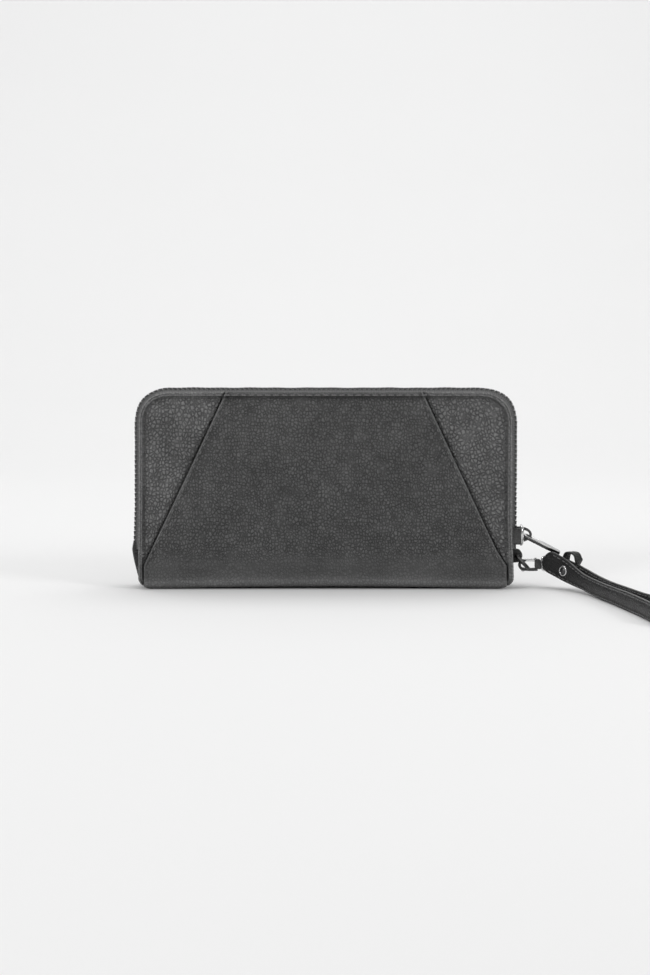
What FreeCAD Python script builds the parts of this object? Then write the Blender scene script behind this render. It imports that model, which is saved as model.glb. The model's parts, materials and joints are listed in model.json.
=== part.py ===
import FreeCAD, Part
import math
import os

# Zip-around long wallet that stands on its spine, with a clip-on wrist strap.
# Millimetres. +X runs along the wallet towards the strap, +Y from the front cover to the
# back cover, +Z from the spine up to the zip. The origin is the middle of the spine's
# flat underside.

V = FreeCAD.Vector

# Driving dimensions
HALF_LENGTH = 95.0          # covers, from the middle to either end
COVER_TOP = 101.7           # upper edge of the covers
HALF_THICK = 12.5           # closed wallet, from the middle to either outer face
TOP_RADIUS = 16.5           # upper corners of the covers
BASE_RADIUS = 5.0           # lower corners of the spine, seen from the front
SPINE_FLAT = 5.5            # half the width of the spine's flat underside
HINGE_Z = HALF_THICK        # the halves fold about a line this far above the base

LEATHER = 1.2
PADDING = 0.8
BOARD = 0.8
LINING = 0.4
CARD_SHEET = 0.36
CARD_ROWS = 4
CARD_HALF_WIDTH = 81.0
CARD_BASE = 16.0
CARD_LOWEST_TOP = 46.0
CARD_STEP = 12.0

SEAM_TOP_X = 50.5           # the slanting seams at the upper edge
SEAM_LOW_X = 92.4           # and where they meet the spine
SEAM_GAP = 0.3

COIN_HALF_LENGTH = 80.0
COIN_HALF_THICK = 3.0
COIN_WALL = 0.7
COIN_BASE = 14.0
COIN_TOP = 74.0
COIN_TAPE = 6.0             # height of the coin pocket's zip tapes
COIN_TOOTH = (0.9, 0.85, 2.4)
COIN_PITCH = 2.4

ZIP_DROP = 1.2              # the zip's top run stands this much lower than its sides
TAPE = 0.6
TAPE_INSET = 0.9            # outer zip tape, behind the covers' edge
TAPE_LOW = 20.2             # where the tapes end above the spine
TAB_TOP = 18.9              # upper edge of the leather tabs below the tapes
TAPE_GAP = 1.0              # from the middle plane to either tape's bead
TOOTH_PITCH = 2.46
TOOTH_LENGTH = 1.0          # along the zip
TOOTH_OUT = 2.5             # past the covers' edge
TOOTH_REACH = 0.6           # past the middle plane, between its neighbours
TOOTH_BACK = 2.4
TEETH_LEFT_LOW = 21.4
TEETH_RIGHT_LOW = 24.6

STITCH = (3.0, 0.55, 0.22)  # length, width, height above the leather
STITCH_PITCH = 4.2
STITCH_INSET = 2.0

SLIDER_Z = 27.0
SLIDER_LENGTH = 11.0
SLIDER_HALF_WIDTH = 4.8
SLIDER_FACE = 101.0         # outer face of the slider's outer plate
BRIDGE_CENTRE = (101.6, 28.2)
BRIDGE_RADIUS = 3.7
BRIDGE_WIRE = 0.6
PULLER_LENGTH = 19.0
PULLER_HALF_WIDTH = 2.0
PULLER_THICK = 1.1
PULLER_DROP = math.radians(26.6)

RING_BAR = (99.4, 16.4)     # x and z of the D-ring's straight bar
RING_TIP = (104.6, 11.0)    # x and z of the far side of the ring
RING_WIRE = 0.8
RING_RADIUS = 5.0

HOOK_CENTRE = (102.4, 11.6)
HOOK_RADIUS = 2.3
HOOK_HALF_BAR = 0.7
HOOK_HALF_WIDTH = 1.5
GATE_PIN = (109.6, 14.0)
SWIVEL_Z = 12.2
EYE_BAR = (115.7, 0.0)      # x and y of the upright bar that the strap turns on

STRAP_WIDTH = 9.0
STRAP_THICK = 2.2
STRAP_END = (123.0, -7.1)   # x and y of the rivet, on the end tab's centre line
STRAP_OFFSET = 2.35         # from the end tab's centre line to either leg's
RIVET_Z = 11.3

# The wrist strap's centre line: down the near leg, round the loop and back up the far leg.
STRAP_ROUTE = [
    (113.6, -2.8, 15.0),
    (121.4, -8.8, 11.3),
    (127.0, -16.2, 8.0),
    (132.0, -28.5, 5.6),
    (136.0, -45.0, 4.7),
    (139.6, -62.0, 4.6),
    (143.6, -82.0, 4.6),
    (147.4, -103.0, 4.6),
    (150.6, -123.0, 4.6),
    (152.2, -140.0, 4.6),
    (159.5, -154.5, 4.6),
    (174.0, -158.5, 4.6),
    (184.5, -148.0, 4.6),
    (181.0, -132.5, 4.6),
    (169.5, -121.0, 4.6),
    (160.0, -112.0, 4.6),
    (154.0, -99.0, 4.6),
    (149.6, -82.0, 4.6),
    (145.6, -65.0, 4.6),
    (142.0, -48.0, 4.7),
    (138.2, -32.5, 5.2),
    (133.4, -18.5, 7.4),
    (128.1, -8.8, 9.9),
    (122.0, -2.8, 11.9),
]


def save(shape, node):
    """Write one node, which is one solid or a group of separate ones."""
    shape.exportStep("parts/" + node + ".step")


def box(low, high):
    size = [b - a for a, b in zip(low, high)]
    return Part.makeBox(size[0], size[1], size[2], V(*low))


def both(function, *names):
    """Make a piece for each side: -1 is the front or left, +1 the back or right."""
    for name, side in zip(names, (-1, 1)):
        save(function(side), name)


def layer(face, inner, outer, side):
    """Extrude a face from the plane y = 0 into a layer between two depths on one side."""
    face = face.copy()
    face.translate(V(0, side * inner, 0))
    return face.extrude(V(0, side * (outer - inner), 0))


# Outlines in the plane y = 0

def cover_face(inset, low=HINGE_Z, drop=0.0):
    """A cover: square below, rounded above, drawn in from the edge by the inset."""
    x = HALF_LENGTH - inset
    top = COVER_TOP - inset - drop
    r = TOP_RADIUS - inset
    c = r * (1 - math.sqrt(0.5))
    left = Part.Arc(V(-x, 0, top - r), V(-x + c, 0, top - c), V(-x + r, 0, top))
    right = Part.Arc(V(x - r, 0, top), V(x - c, 0, top - c), V(x, 0, top - r))
    edges = [
        Part.makeLine(V(-x, 0, low), V(-x, 0, top - r)),
        left.toShape(),
        Part.makeLine(V(-x + r, 0, top), V(x - r, 0, top)),
        right.toShape(),
        Part.makeLine(V(x, 0, top - r), V(x, 0, low)),
        Part.makeLine(V(x, 0, low), V(-x, 0, low)),
    ]
    return Part.Face(Part.Wire(edges))


def polygon(points):
    """A flat face through x, z points."""
    ring = [V(x, 0, z) for x, z in points]
    return Part.Face(Part.makePolygon(ring + ring[:1]))


def seam_x(z):
    """The right-hand slanting seam's x at a height."""
    slope = (SEAM_TOP_X - SEAM_LOW_X) / (COVER_TOP - HINGE_Z)
    return SEAM_LOW_X + slope * (z - HINGE_Z)


# The rim path: up the left side, round the two upper corners and down the right side

def rim_lengths(offset, left_low, right_low, drop):
    """Lengths of the rim path's five stretches at an offset outside the covers' edge."""
    straight_top = COVER_TOP - TOP_RADIUS - drop
    corner = (TOP_RADIUS + offset) * math.pi / 2
    across = 2 * (HALF_LENGTH - TOP_RADIUS)
    return [straight_top - left_low, corner, across, corner, straight_top - right_low]


def rim_point(s, offset, left_low, right_low, drop):
    """Place x, z and the outward angle at a length along the rim path."""
    lengths = rim_lengths(offset, left_low, right_low, drop)
    r = TOP_RADIUS + offset
    cx = HALF_LENGTH - TOP_RADIUS
    cz = COVER_TOP - TOP_RADIUS - drop
    if s < lengths[0]:
        return -HALF_LENGTH - offset, left_low + s, math.pi
    s -= lengths[0]
    if s < lengths[1]:
        a = math.pi - s / r
        return -cx + r * math.cos(a), cz + r * math.sin(a), a
    s -= lengths[1]
    if s < lengths[2]:
        return -cx + s, cz + r, math.pi / 2
    s -= lengths[2]
    if s < lengths[3]:
        a = math.pi / 2 - s / r
        return cx + r * math.cos(a), cz + r * math.sin(a), a
    s -= lengths[3]
    return HALF_LENGTH + offset, cz - s, 0.0


def along_rim(block, pitch, offset, left_low, right_low, start=0.0, drop=0.0):
    """Copies of a block, whose X points outward and Z along the rim, at even steps."""
    total = sum(rim_lengths(offset, left_low, right_low, drop))
    pieces = []
    s = start
    while s <= total:
        x, z, a = rim_point(s, offset, left_low, right_low, drop)
        piece = block.copy()
        piece.rotate(V(0, 0, 0), V(0, 1, 0), -math.degrees(a))
        piece.translate(V(x, 0, z))
        pieces.append(piece)
        s += pitch
    return Part.makeCompound(pieces)


# Covers

def cover_layers(side):
    """Depths of a cover's layers from the middle plane, from the outside in."""
    leather = (HALF_THICK - LEATHER, HALF_THICK)
    padding = (leather[0] - PADDING, leather[0])
    board = (padding[0] - BOARD, padding[0])
    lining = (board[0] - LINING, board[0])
    return leather, padding, board, lining


LEATHER_AT, PADDING_AT, BOARD_AT, LINING_AT = cover_layers(1)


def front_centre_panel():
    """The middle of the front: a trapezoid between the slanting seams."""
    half = SEAM_GAP / 2
    low = seam_x(HINGE_Z) - half
    top = seam_x(COVER_TOP + 1) - half
    cut = polygon([(-low, HINGE_Z), (low, HINGE_Z), (top, COVER_TOP + 1), (-top, COVER_TOP + 1)])
    return layer(cover_face(0).common(cut), *LEATHER_AT, -1)


def front_side_panel(side):
    """The corner panel outside one slanting seam."""
    half = SEAM_GAP / 2
    low = side * (seam_x(HINGE_Z) + half)
    top = side * (seam_x(COVER_TOP + 1) + half)
    far = side * (HALF_LENGTH + 1)
    cut = polygon([(low, HINGE_Z), (far, HINGE_Z), (far, COVER_TOP + 1), (top, COVER_TOP + 1)])
    return layer(cover_face(0).common(cut), *LEATHER_AT, -1)


def padding(side):
    return layer(cover_face(5.0, HINGE_Z + 2), *PADDING_AT, side)


def board(side):
    return layer(cover_face(3.0, HINGE_Z + 1), *BOARD_AT, side)


def lining(side):
    return layer(cover_face(2.4), *LINING_AT, side)


def edge_stitching(side):
    """The row of stitches just inside a cover's edge."""
    length, width, height = STITCH
    y = side * HALF_THICK
    block = box((-width / 2, min(y, y + side * height), -length / 2),
                (width / 2, max(y, y + side * height), length / 2))
    return along_rim(block, STITCH_PITCH, -STITCH_INSET, HINGE_Z + 3, HINGE_Z + 3)


def seam_stitching():
    """Stitches on the centre panel beside both slanting seams."""
    length, width, height = STITCH
    block = box((-width / 2, -HALF_THICK - height, -length / 2),
                (width / 2, -HALF_THICK, length / 2))
    lean = math.degrees(math.atan2(SEAM_LOW_X - SEAM_TOP_X, COVER_TOP - HINGE_Z))
    rise = STITCH_PITCH * math.cos(math.radians(lean))
    pieces = []
    z = HINGE_Z + 4
    while z < COVER_TOP - 5:
        for side in (-1, 1):
            piece = block.copy()
            piece.rotate(V(0, 0, 0), V(0, 1, 0), -side * lean)
            piece.translate(V(side * (seam_x(z) - 1.6), 0, z))
            pieces.append(piece)
        z += rise
    return Part.makeCompound(pieces)


def card_sheet(side, row):
    """One row of card slots. The lowest row is nearest the middle of the wallet."""
    outer = LINING_AT[0] - (CARD_ROWS - 1 - row) * CARD_SHEET
    top = CARD_LOWEST_TOP + row * CARD_STEP
    ends = sorted((side * outer, side * (outer - CARD_SHEET)))
    return box((-CARD_HALF_WIDTH, ends[0], CARD_BASE), (CARD_HALF_WIDTH, ends[1], top))


# Spine

def spine_section(inset):
    """The spine's outline across the wallet, open above, as a face filled to the hinge."""
    y = HALF_THICK - inset
    r = HALF_THICK - SPINE_FLAT - inset
    c = r * (1 - math.sqrt(0.5))
    z = inset
    front = Part.Arc(V(0, -y, z + r), V(0, -y + c, z + c), V(0, -y + r, z))
    back = Part.Arc(V(0, y - r, z), V(0, y - c, z + c), V(0, y, z + r))
    edges = [
        Part.makeLine(V(0, -y, HINGE_Z), V(0, -y, z + r)),
        front.toShape(),
        Part.makeLine(V(0, -y + r, z), V(0, y - r, z)),
        back.toShape(),
        Part.makeLine(V(0, y, z + r), V(0, y, HINGE_Z)),
        Part.makeLine(V(0, y, HINGE_Z), V(0, -y, HINGE_Z)),
    ]
    return Part.Face(Part.Wire(edges))


def spine_layer(outer, inner, half_length):
    section = spine_section(outer).cut(spine_section(inner))
    section.translate(V(-half_length, 0, 0))
    return section.extrude(V(2 * half_length, 0, 0))


def spine_wrap():
    """The leather that carries on from the front panel under the wallet to the back."""
    strip = spine_layer(0, LEATHER, HALF_LENGTH)
    block = box((-HALF_LENGTH, -HALF_THICK - 1, 0), (HALF_LENGTH, HALF_THICK + 1, HINGE_Z + 9))
    low_ends = [e for e in block.Edges
                if abs(e.BoundBox.ZMax) < 1e-6 and e.BoundBox.YLength > HALF_THICK]
    return strip.common(block.makeFillet(BASE_RADIUS, low_ends))


def spine_lining():
    return spine_layer(LEATHER, LEATHER + LINING, HALF_LENGTH - 4)


# Main zip

def zip_tape(side):
    """One tape: a band that follows the rim from the cover's leather to the teeth."""
    outer = cover_face(TAPE_INSET - TAPE, TAPE_LOW, ZIP_DROP)
    band = outer.cut(cover_face(TAPE_INSET, TAPE_LOW - 1, ZIP_DROP))
    return layer(band, TAPE_GAP, LEATHER_AT[0], side)


def zip_teeth(side):
    """One row of teeth. The two rows are half a pitch apart, so they mesh."""
    inner = -TAPE_INSET + TAPE
    ends = sorted((-side * TOOTH_REACH, side * TOOTH_BACK))
    half = TOOTH_LENGTH / 2
    block = box((inner - 1.1, ends[0], -half), (TOOTH_OUT - 1.1, ends[1], half))
    start = TOOTH_PITCH / 2 if side > 0 else 0.0
    return along_rim(block, TOOTH_PITCH, 1.1, TEETH_LEFT_LOW, TEETH_RIGHT_LOW, start, ZIP_DROP)


def end_tab_left():
    """The leather that closes the zip's left end."""
    return box((-HALF_LENGTH - 0.4, -3.9, 13.2), (-91.0, 3.9, TAB_TOP))


def end_tab_right():
    """The leather that closes the zip's right end and holds the D-ring."""
    tab = box((91.0, -3.9, 14.2), (RING_BAR[0] + 1.6, 3.9, TAB_TOP))
    outer = [e for e in tab.Edges
             if e.BoundBox.XMin > RING_BAR[0] + 1 and e.BoundBox.YLength > 1]
    tab = tab.makeFillet(1.5, outer)
    hole = Part.makeCylinder(RING_WIRE + 0.05, 20, V(RING_BAR[0], -10, RING_BAR[1]), V(0, 1, 0))
    return tab.cut(hole)


def slider_body():
    """Two plates joined by a post, with flanges that hold the rows of teeth together."""
    low = SLIDER_Z - SLIDER_LENGTH / 2
    high = SLIDER_Z + SLIDER_LENGTH / 2
    w = SLIDER_HALF_WIDTH
    outer = box((SLIDER_FACE - 1.4, -w, low), (SLIDER_FACE, w, high))
    corners = [e for e in outer.Edges if e.BoundBox.XLength > 1]
    outer = outer.makeFillet(1.6, corners)
    inner = box((92.6, -w + 0.6, low + 0.5), (93.9, w - 0.6, high - 0.5))
    post = box((93.9, -0.7, low + 0.5), (SLIDER_FACE - 1.4, 0.7, low + 2.3))
    body = outer.fuse([inner, post])
    for side in (-1, 1):
        ends = sorted((side * (w - 1.4), side * w))
        body = body.fuse(box((95.2, ends[0], low + 1.6), (SLIDER_FACE - 1.4, ends[1], high - 1.6)))
    return body.removeSplitter()


def slider_bridge():
    """The wire arch on the slider that the puller's eye slides along."""
    cx, cz = BRIDGE_CENTRE

    def at(degrees):
        a = math.radians(degrees)
        return V(cx + BRIDGE_RADIUS * math.cos(a), 0, cz + BRIDGE_RADIUS * math.sin(a))

    arch = Part.Arc(at(-72), at(0), at(72)).toShape()
    path = Part.Wire([arch])
    ring = Part.Wire([Part.makeCircle(BRIDGE_WIRE, at(-72), V(math.sin(math.radians(72)), 0,
                                                            math.cos(math.radians(72))))])
    wire = path.makePipeShell([ring], True, True)
    feet = []
    for end in (-72, 72):
        p = at(end)
        feet.append(Part.makeCylinder(BRIDGE_WIRE, p.x - SLIDER_FACE, V(SLIDER_FACE, 0, p.z), V(1, 0, 0)))
        feet.append(Part.makeSphere(BRIDGE_WIRE, p))
    return wire.fuse(feet).removeSplitter()


def eye_plate(length, half_width, thick, hole_length, hole_half_width, rim):
    """A flat pull along +X, with a slot for the bridge round the origin."""
    tail = hole_length / 2 + rim
    plate = box((-tail, -half_width, -thick / 2), (length, half_width, thick / 2))
    upright = [e for e in plate.Edges if e.BoundBox.ZLength > thick / 2]
    plate = plate.makeFillet(half_width * 0.7, upright)
    slot = box((-hole_length / 2, -hole_half_width, -thick), (hole_length / 2, hole_half_width, thick))
    return plate.cut(slot)


def zip_puller():
    pull = eye_plate(PULLER_LENGTH, PULLER_HALF_WIDTH, PULLER_THICK, 3.4, 1.0, 0.9)
    pull.rotate(V(0, 0, 0), V(0, 1, 0), math.degrees(PULLER_DROP))
    cx, cz = BRIDGE_CENTRE
    reach = BRIDGE_RADIUS * math.sqrt(0.5)
    pull.translate(V(cx + reach, 0, cz - reach))
    return pull


# D-ring and clasp

def tube(path, radius):
    """A round wire along a path of tangent edges."""
    edge = path.OrderedEdges[0]
    start = edge.valueAt(edge.FirstParameter)
    way = edge.tangentAt(edge.FirstParameter)
    ring = Part.Wire([Part.makeCircle(radius, start, way)])
    return path.makePipeShell([ring], True, True)


def d_ring():
    """A wire D whose straight bar runs through the end tab."""
    reach = math.hypot(RING_TIP[0] - RING_BAR[0], RING_TIP[1] - RING_BAR[1])
    arm = reach - RING_RADIUS
    r = RING_RADIUS
    path = Part.Wire([
        Part.makeLine(V(0, -r, 0), V(arm, -r, 0)),
        Part.Arc(V(arm, -r, 0), V(reach, 0, 0), V(arm, r, 0)).toShape(),
        Part.makeLine(V(arm, r, 0), V(0, r, 0)),
    ])
    bar = Part.makeCylinder(RING_WIRE, 2 * r, V(0, -r, 0), V(0, 1, 0))
    knees = [Part.makeSphere(RING_WIRE, V(0, side * r, 0)) for side in (-1, 1)]
    ring = tube(path, RING_WIRE).fuse([bar] + knees)
    lean = math.degrees(math.atan2(RING_BAR[1] - RING_TIP[1], RING_TIP[0] - RING_BAR[0]))
    ring.rotate(V(0, 0, 0), V(0, 1, 0), lean)
    ring.translate(V(RING_BAR[0], 0, RING_BAR[1]))
    return ring.removeSplitter()


def hook_ring(radius):
    cx, cz = HOOK_CENTRE
    w = HOOK_HALF_WIDTH
    return Part.makeCylinder(radius, 2 * w, V(cx, -w, cz), V(0, 1, 0))


def clasp_body():
    """The hook, its back and the block that holds the gate and the swivel."""
    cx, cz = HOOK_CENTRE
    w = HOOK_HALF_WIDTH
    nose = hook_ring(HOOK_RADIUS + HOOK_HALF_BAR).cut(hook_ring(HOOK_RADIUS - HOOK_HALF_BAR))
    nose = nose.cut(box((cx, -9, cz - 9), (cx + 9, 9, cz + 9)))
    low = cz - HOOK_RADIUS
    back = box((cx, -w, low - HOOK_HALF_BAR), (108.4, w, low + HOOK_HALF_BAR))
    ball = Part.makeSphere(1.2, V(100.6, 0, 9.2))
    block = box((108.2, -1.9, 8.6), (112.2, 1.9, 15.2))
    block = block.makeFillet(0.6, [e for e in block.Edges if e.BoundBox.YLength > 1])
    slot = box((108.0, -1.05, 12.4), (110.9, 1.05, 16.0))
    bore = Part.makeCylinder(1.0, 1.3, V(111.0, 0, SWIVEL_Z), V(1, 0, 0))
    pin_hole = Part.makeCylinder(0.4, 9, V(GATE_PIN[0], -4, GATE_PIN[1]), V(0, 1, 0))
    body = nose.fuse([back, ball, block])
    return body.cut(slot.fuse([bore, pin_hole])).removeSplitter()


def clasp_gate():
    """The bar that closes the hook's mouth and springs back."""
    x, z = GATE_PIN
    bar = box((HOOK_CENTRE[0] + 0.5, -0.9, z - 0.6), (x + 0.8, 0.9, z + 0.6))
    hole = Part.makeCylinder(0.45, 9, V(x, -4, z), V(0, 1, 0))
    return bar.cut(hole)


def clasp_gate_pin():
    return Part.makeCylinder(0.4, 3.8, V(GATE_PIN[0], -1.9, GATE_PIN[1]), V(0, 1, 0))


def swivel_eye():
    """The upright loop on the end of the clasp that turns about the clasp's length."""
    z = SWIVEL_Z
    frame = box((112.4, -0.7, z - 4.0), (EYE_BAR[0], 0.7, z + 4.0))
    window = box((113.6, -2, z - 2.6), (EYE_BAR[0] + 2, 2, z + 2.6))
    bar = Part.makeCylinder(0.7, 8.0, V(EYE_BAR[0], 0, z - 4.0))
    stem = Part.makeCylinder(0.95, 1.3, V(111.2, 0, z), V(1, 0, 0))
    return frame.cut(window).fuse([bar, stem]).removeSplitter()


# Wrist strap

def strap_way():
    """The unit direction of the strap's end, in the level plane."""
    dx = STRAP_END[0] - EYE_BAR[0]
    dy = STRAP_END[1] - EYE_BAR[1]
    size = math.hypot(dx, dy)
    return dx / size, dy / size


def strap_frame(shape, x, y, z=0.0):
    """Turn a shape made along +X to the strap's direction and set it at x, y."""
    ux, uy = strap_way()
    shape.rotate(V(0, 0, 0), V(0, 0, 1), math.degrees(math.atan2(uy, ux)))
    shape.translate(V(x, y, z))
    return shape


def strap_end_tab():
    """The narrow leather tab that folds round the swivel eye's bar."""
    low = SWIVEL_Z - 2.5
    reach = math.hypot(STRAP_END[0] - EYE_BAR[0], STRAP_END[1] - EYE_BAR[1]) + 2.0
    fold = Part.makeCylinder(1.95, 5.0, V(0, 0, low))
    tail = box((0, -1.2, low), (reach, 1.2, low + 5.0))
    bar = Part.makeCylinder(0.75, 9, V(0, 0, low - 2))
    hole = Part.makeCylinder(1.0, 9, V(reach - 2.0, -4, RIVET_Z), V(0, 1, 0))
    return strap_frame(fold.fuse(tail).cut(bar.fuse(hole)), *EYE_BAR)


def rounded_path(points):
    """Straight runs joined by tangent arcs, each as large as its two runs allow."""
    p = [V(*q) for q in points]
    edges = []
    radii = []
    start = p[0]
    for a, b, c in zip(p, p[1:], p[2:]):
        into, out = (b - a), (c - b)
        half_turn = into.getAngle(out) / 2
        cut = 0.45 * min(into.Length, out.Length)
        radius = cut / math.tan(half_turn)
        into.normalize()
        out.normalize()
        first, last = b - into * cut, b + out * cut
        inward = out - into
        inward.normalize()
        middle = b + inward * (radius / math.cos(half_turn) - radius)
        edges.append(Part.makeLine(start, first))
        edges.append(Part.Arc(first, middle, last).toShape())
        radii.append(radius)
        start = last
    edges.append(Part.makeLine(start, p[-1]))
    return Part.Wire(edges), radii


def wrist_strap():
    """The flat strap, on edge, swept along its route."""
    path, radii = rounded_path(STRAP_ROUTE)
    start = V(*STRAP_ROUTE[0])
    way = V(*STRAP_ROUTE[1]) - start
    way.z = 0
    way.normalize()
    across = V(-way.y, way.x, 0)
    t, h = across * (STRAP_THICK / 2), V(0, 0, STRAP_WIDTH / 2)
    corners = [start - t - h, start + t - h, start + t + h, start - t + h]
    section = Part.makePolygon(corners + corners[:1])
    shell = Part.BRepOffsetAPI.MakePipeShell(path)
    shell.setBiNormalMode(V(0, 0, 1))
    shell.add(section)
    shell.build()
    shell.makeSolid()
    strap = shell.shape()
    print("strap length", round(path.Length, 1), "radii", [round(r, 1) for r in radii])
    print("strap volume", round(strap.Volume), "of", round(path.Length * STRAP_THICK * STRAP_WIDTH))
    hole = Part.makeCylinder(1.0, 30, V(0, -15, RIVET_Z), V(0, 1, 0))
    return strap.cut(strap_frame(hole, *STRAP_END))


def strap_rivet():
    """A shank through both legs and the end tab, with a domed head at each end."""
    reach = STRAP_OFFSET + STRAP_THICK / 2
    rivet = Part.makeCylinder(1.0, 2 * reach, V(0, -reach, RIVET_Z), V(0, 1, 0))
    for side, radius, height in ((-1, 2.5, 1.3), (1, 1.8, 0.9)):
        ball = (radius * radius + height * height) / (2 * height)
        dome = Part.makeSphere(ball, V(0, side * (reach + height - ball), RIVET_Z))
        ends = sorted((side * reach, side * (reach + 9)))
        rivet = rivet.fuse(dome.common(box((-9, ends[0], RIVET_Z - 9), (9, ends[1], RIVET_Z + 9))))
    return strap_frame(rivet.removeSplitter(), *STRAP_END)


def strap_keeper():
    """The leather loop round the far leg, with slack above the strap."""
    centre = STRAP_OFFSET + 0.8
    outer = box((2.4, centre - 3.4, 4.6), (7.4, centre + 3.4, 19.3))
    outer = outer.makeFillet(3.0, [e for e in outer.Edges if e.BoundBox.XLength > 4])
    inner = box((1.0, centre - 2.3, 5.7), (9.0, centre + 2.3, 18.2))
    inner = inner.makeFillet(1.9, [e for e in inner.Edges if e.BoundBox.XLength > 4])
    return strap_frame(outer.cut(inner), *STRAP_END)


# Coin pocket

def coin_wall(side):
    ends = sorted((side * COIN_HALF_THICK, side * (COIN_HALF_THICK - COIN_WALL)))
    return box((-COIN_HALF_LENGTH, ends[0], COIN_BASE), (COIN_HALF_LENGTH, ends[1], COIN_TOP))


def coin_base():
    y = COIN_HALF_THICK - COIN_WALL
    return box((-COIN_HALF_LENGTH, -y, COIN_BASE), (COIN_HALF_LENGTH, y, COIN_BASE + COIN_WALL))


def coin_side(side):
    y = COIN_HALF_THICK - COIN_WALL
    ends = sorted((side * COIN_HALF_LENGTH, side * (COIN_HALF_LENGTH - COIN_WALL)))
    return box((ends[0], -y, COIN_BASE + COIN_WALL), (ends[1], y, COIN_TOP))


def coin_tape(side):
    ends = sorted((side * (COIN_HALF_THICK - COIN_WALL), side * (COIN_HALF_THICK - 0.2)))
    return box((-COIN_HALF_LENGTH, ends[0], COIN_TOP), (COIN_HALF_LENGTH, ends[1], COIN_TOP + COIN_TAPE))


def coin_teeth(side):
    """The open zip's teeth, standing on their tape's upper edge."""
    length, depth, height = COIN_TOOTH
    y = side * (COIN_HALF_THICK - 0.45)
    z = COIN_TOP + COIN_TAPE
    pieces = []
    x = -COIN_HALF_LENGTH + 14
    while x < COIN_HALF_LENGTH - 4:
        pieces.append(box((x, y - depth / 2, z), (x + length, y + depth / 2, z + height)))
        x += COIN_PITCH
    return Part.makeCompound(pieces)


COIN_SLIDER_X = -70.0
COIN_SLIDER_Z = COIN_TOP + COIN_TAPE


def coin_slider():
    """The coin pocket's slider, parked at the open end of its zip."""
    x, z = COIN_SLIDER_X, COIN_SLIDER_Z
    top = z + COIN_TOOTH[2] + 0.2
    plate = box((x - 4.5, -4.2, top), (x + 4.5, 4.2, top + 1.0))
    plate = plate.makeFillet(1.8, [e for e in plate.Edges if e.BoundBox.ZLength > 0.5])
    inner = box((x - 3.5, -1.8, z - 1.4), (x + 3.5, 1.8, z - 0.4))
    post = box((x - 1.0, -0.8, z - 0.4), (x + 1.0, 0.8, top))
    body = plate.fuse([inner, post])
    for side in (-1, 1):
        ends = sorted((side * 3.2, side * 4.2))
        body = body.fuse(box((x - 3.0, ends[0], z + 0.6), (x + 3.0, ends[1], top)))
    legs = [box((x + a, -0.6, top + 1.0), (x + a + 1.2, 0.6, top + 3.2)) for a in (-2.8, 1.6)]
    crown = box((x - 2.8, -0.6, top + 2.4), (x + 2.8, 0.6, top + 3.2))
    return body.fuse(legs + [crown]).removeSplitter()


def coin_puller():
    """The coin slider's pull: a stirrup round the bridge, with a flat tongue."""
    top = COIN_SLIDER_Z + COIN_TOOTH[2] + 1.2
    x, z = COIN_SLIDER_X, top + 0.75
    pull = box((x - 1.4, -2.2, z - 0.35), (x + 11.0, 2.2, z + 0.35))
    pull = pull.makeFillet(1.4, [e for e in pull.Edges if e.BoundBox.ZLength > 0.5])
    window = box((x - 0.7, -1.0, z - 1), (x + 3.4, 1.0, z + 1))
    return pull.cut(window)


# Side gussets

# A gusset's outline from above, at the right-hand rear: coin pocket, fold, cover
GUSSET_OUTLINE = [
    (81.0, 3.3), (73.2, 5.3), (91.0, 9.1),
    (91.0, 8.7), (74.6, 5.42), (81.0, 3.75),
]
GUSSET_BASE = 20.0
GUSSET_HEIGHT = 64.0


def gusset(side, end):
    """A folded sheet that joins the coin pocket's end to a cover and folds inward."""
    ring = [V(end * x, side * y, GUSSET_BASE) for x, y in GUSSET_OUTLINE]
    face = Part.Face(Part.makePolygon(ring + ring[:1]))
    return face.extrude(V(0, 0, GUSSET_HEIGHT))


def main():
    os.makedirs("parts", exist_ok=True)
    save(front_centre_panel(), "front_centre_panel")
    both(front_side_panel, "front_left_panel", "front_right_panel")
    save(layer(cover_face(0), *LEATHER_AT, 1), "back_panel")
    both(padding, "front_padding", "back_padding")
    both(board, "front_board", "back_board")
    both(lining, "front_lining", "back_lining")
    both(edge_stitching, "front_edge_stitching", "back_edge_stitching")
    save(seam_stitching(), "front_seam_stitching")
    for row in range(CARD_ROWS):
        both(lambda side: card_sheet(side, row),
             "front_card_row_%d" % (row + 1), "back_card_row_%d" % (row + 1))
    save(spine_wrap(), "spine_wrap")
    save(spine_lining(), "spine_lining")
    both(zip_tape, "zip_tape_front", "zip_tape_back")
    both(zip_teeth, "zip_teeth_front", "zip_teeth_back")
    save(end_tab_left(), "end_tab_left")
    save(end_tab_right(), "end_tab_right")
    save(slider_body(), "zip_slider_body")
    save(slider_bridge(), "zip_slider_bridge")
    save(zip_puller(), "zip_puller")
    save(d_ring(), "d_ring")
    save(clasp_body(), "clasp_body")
    save(clasp_gate(), "clasp_gate")
    save(clasp_gate_pin(), "clasp_gate_pin")
    save(swivel_eye(), "clasp_swivel_eye")
    save(strap_end_tab(), "strap_end_tab")
    save(wrist_strap(), "wrist_strap")
    save(strap_rivet(), "strap_rivet")
    save(strap_keeper(), "strap_keeper")
    both(coin_wall, "coin_pocket_front_wall", "coin_pocket_back_wall")
    save(coin_base(), "coin_pocket_base")
    both(coin_side, "coin_pocket_left_side", "coin_pocket_right_side")
    both(coin_tape, "coin_zip_tape_front", "coin_zip_tape_back")
    both(coin_teeth, "coin_zip_teeth_front", "coin_zip_teeth_back")
    save(coin_slider(), "coin_zip_slider")
    save(coin_puller(), "coin_zip_puller")
    for side, name in ((-1, "front"), (1, "back")):
        both(lambda end: gusset(side, end), name + "_gusset_left", name + "_gusset_right")


main()
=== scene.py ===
import json
import math

import bmesh
import bpy
import numpy as np
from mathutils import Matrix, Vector, noise


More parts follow.
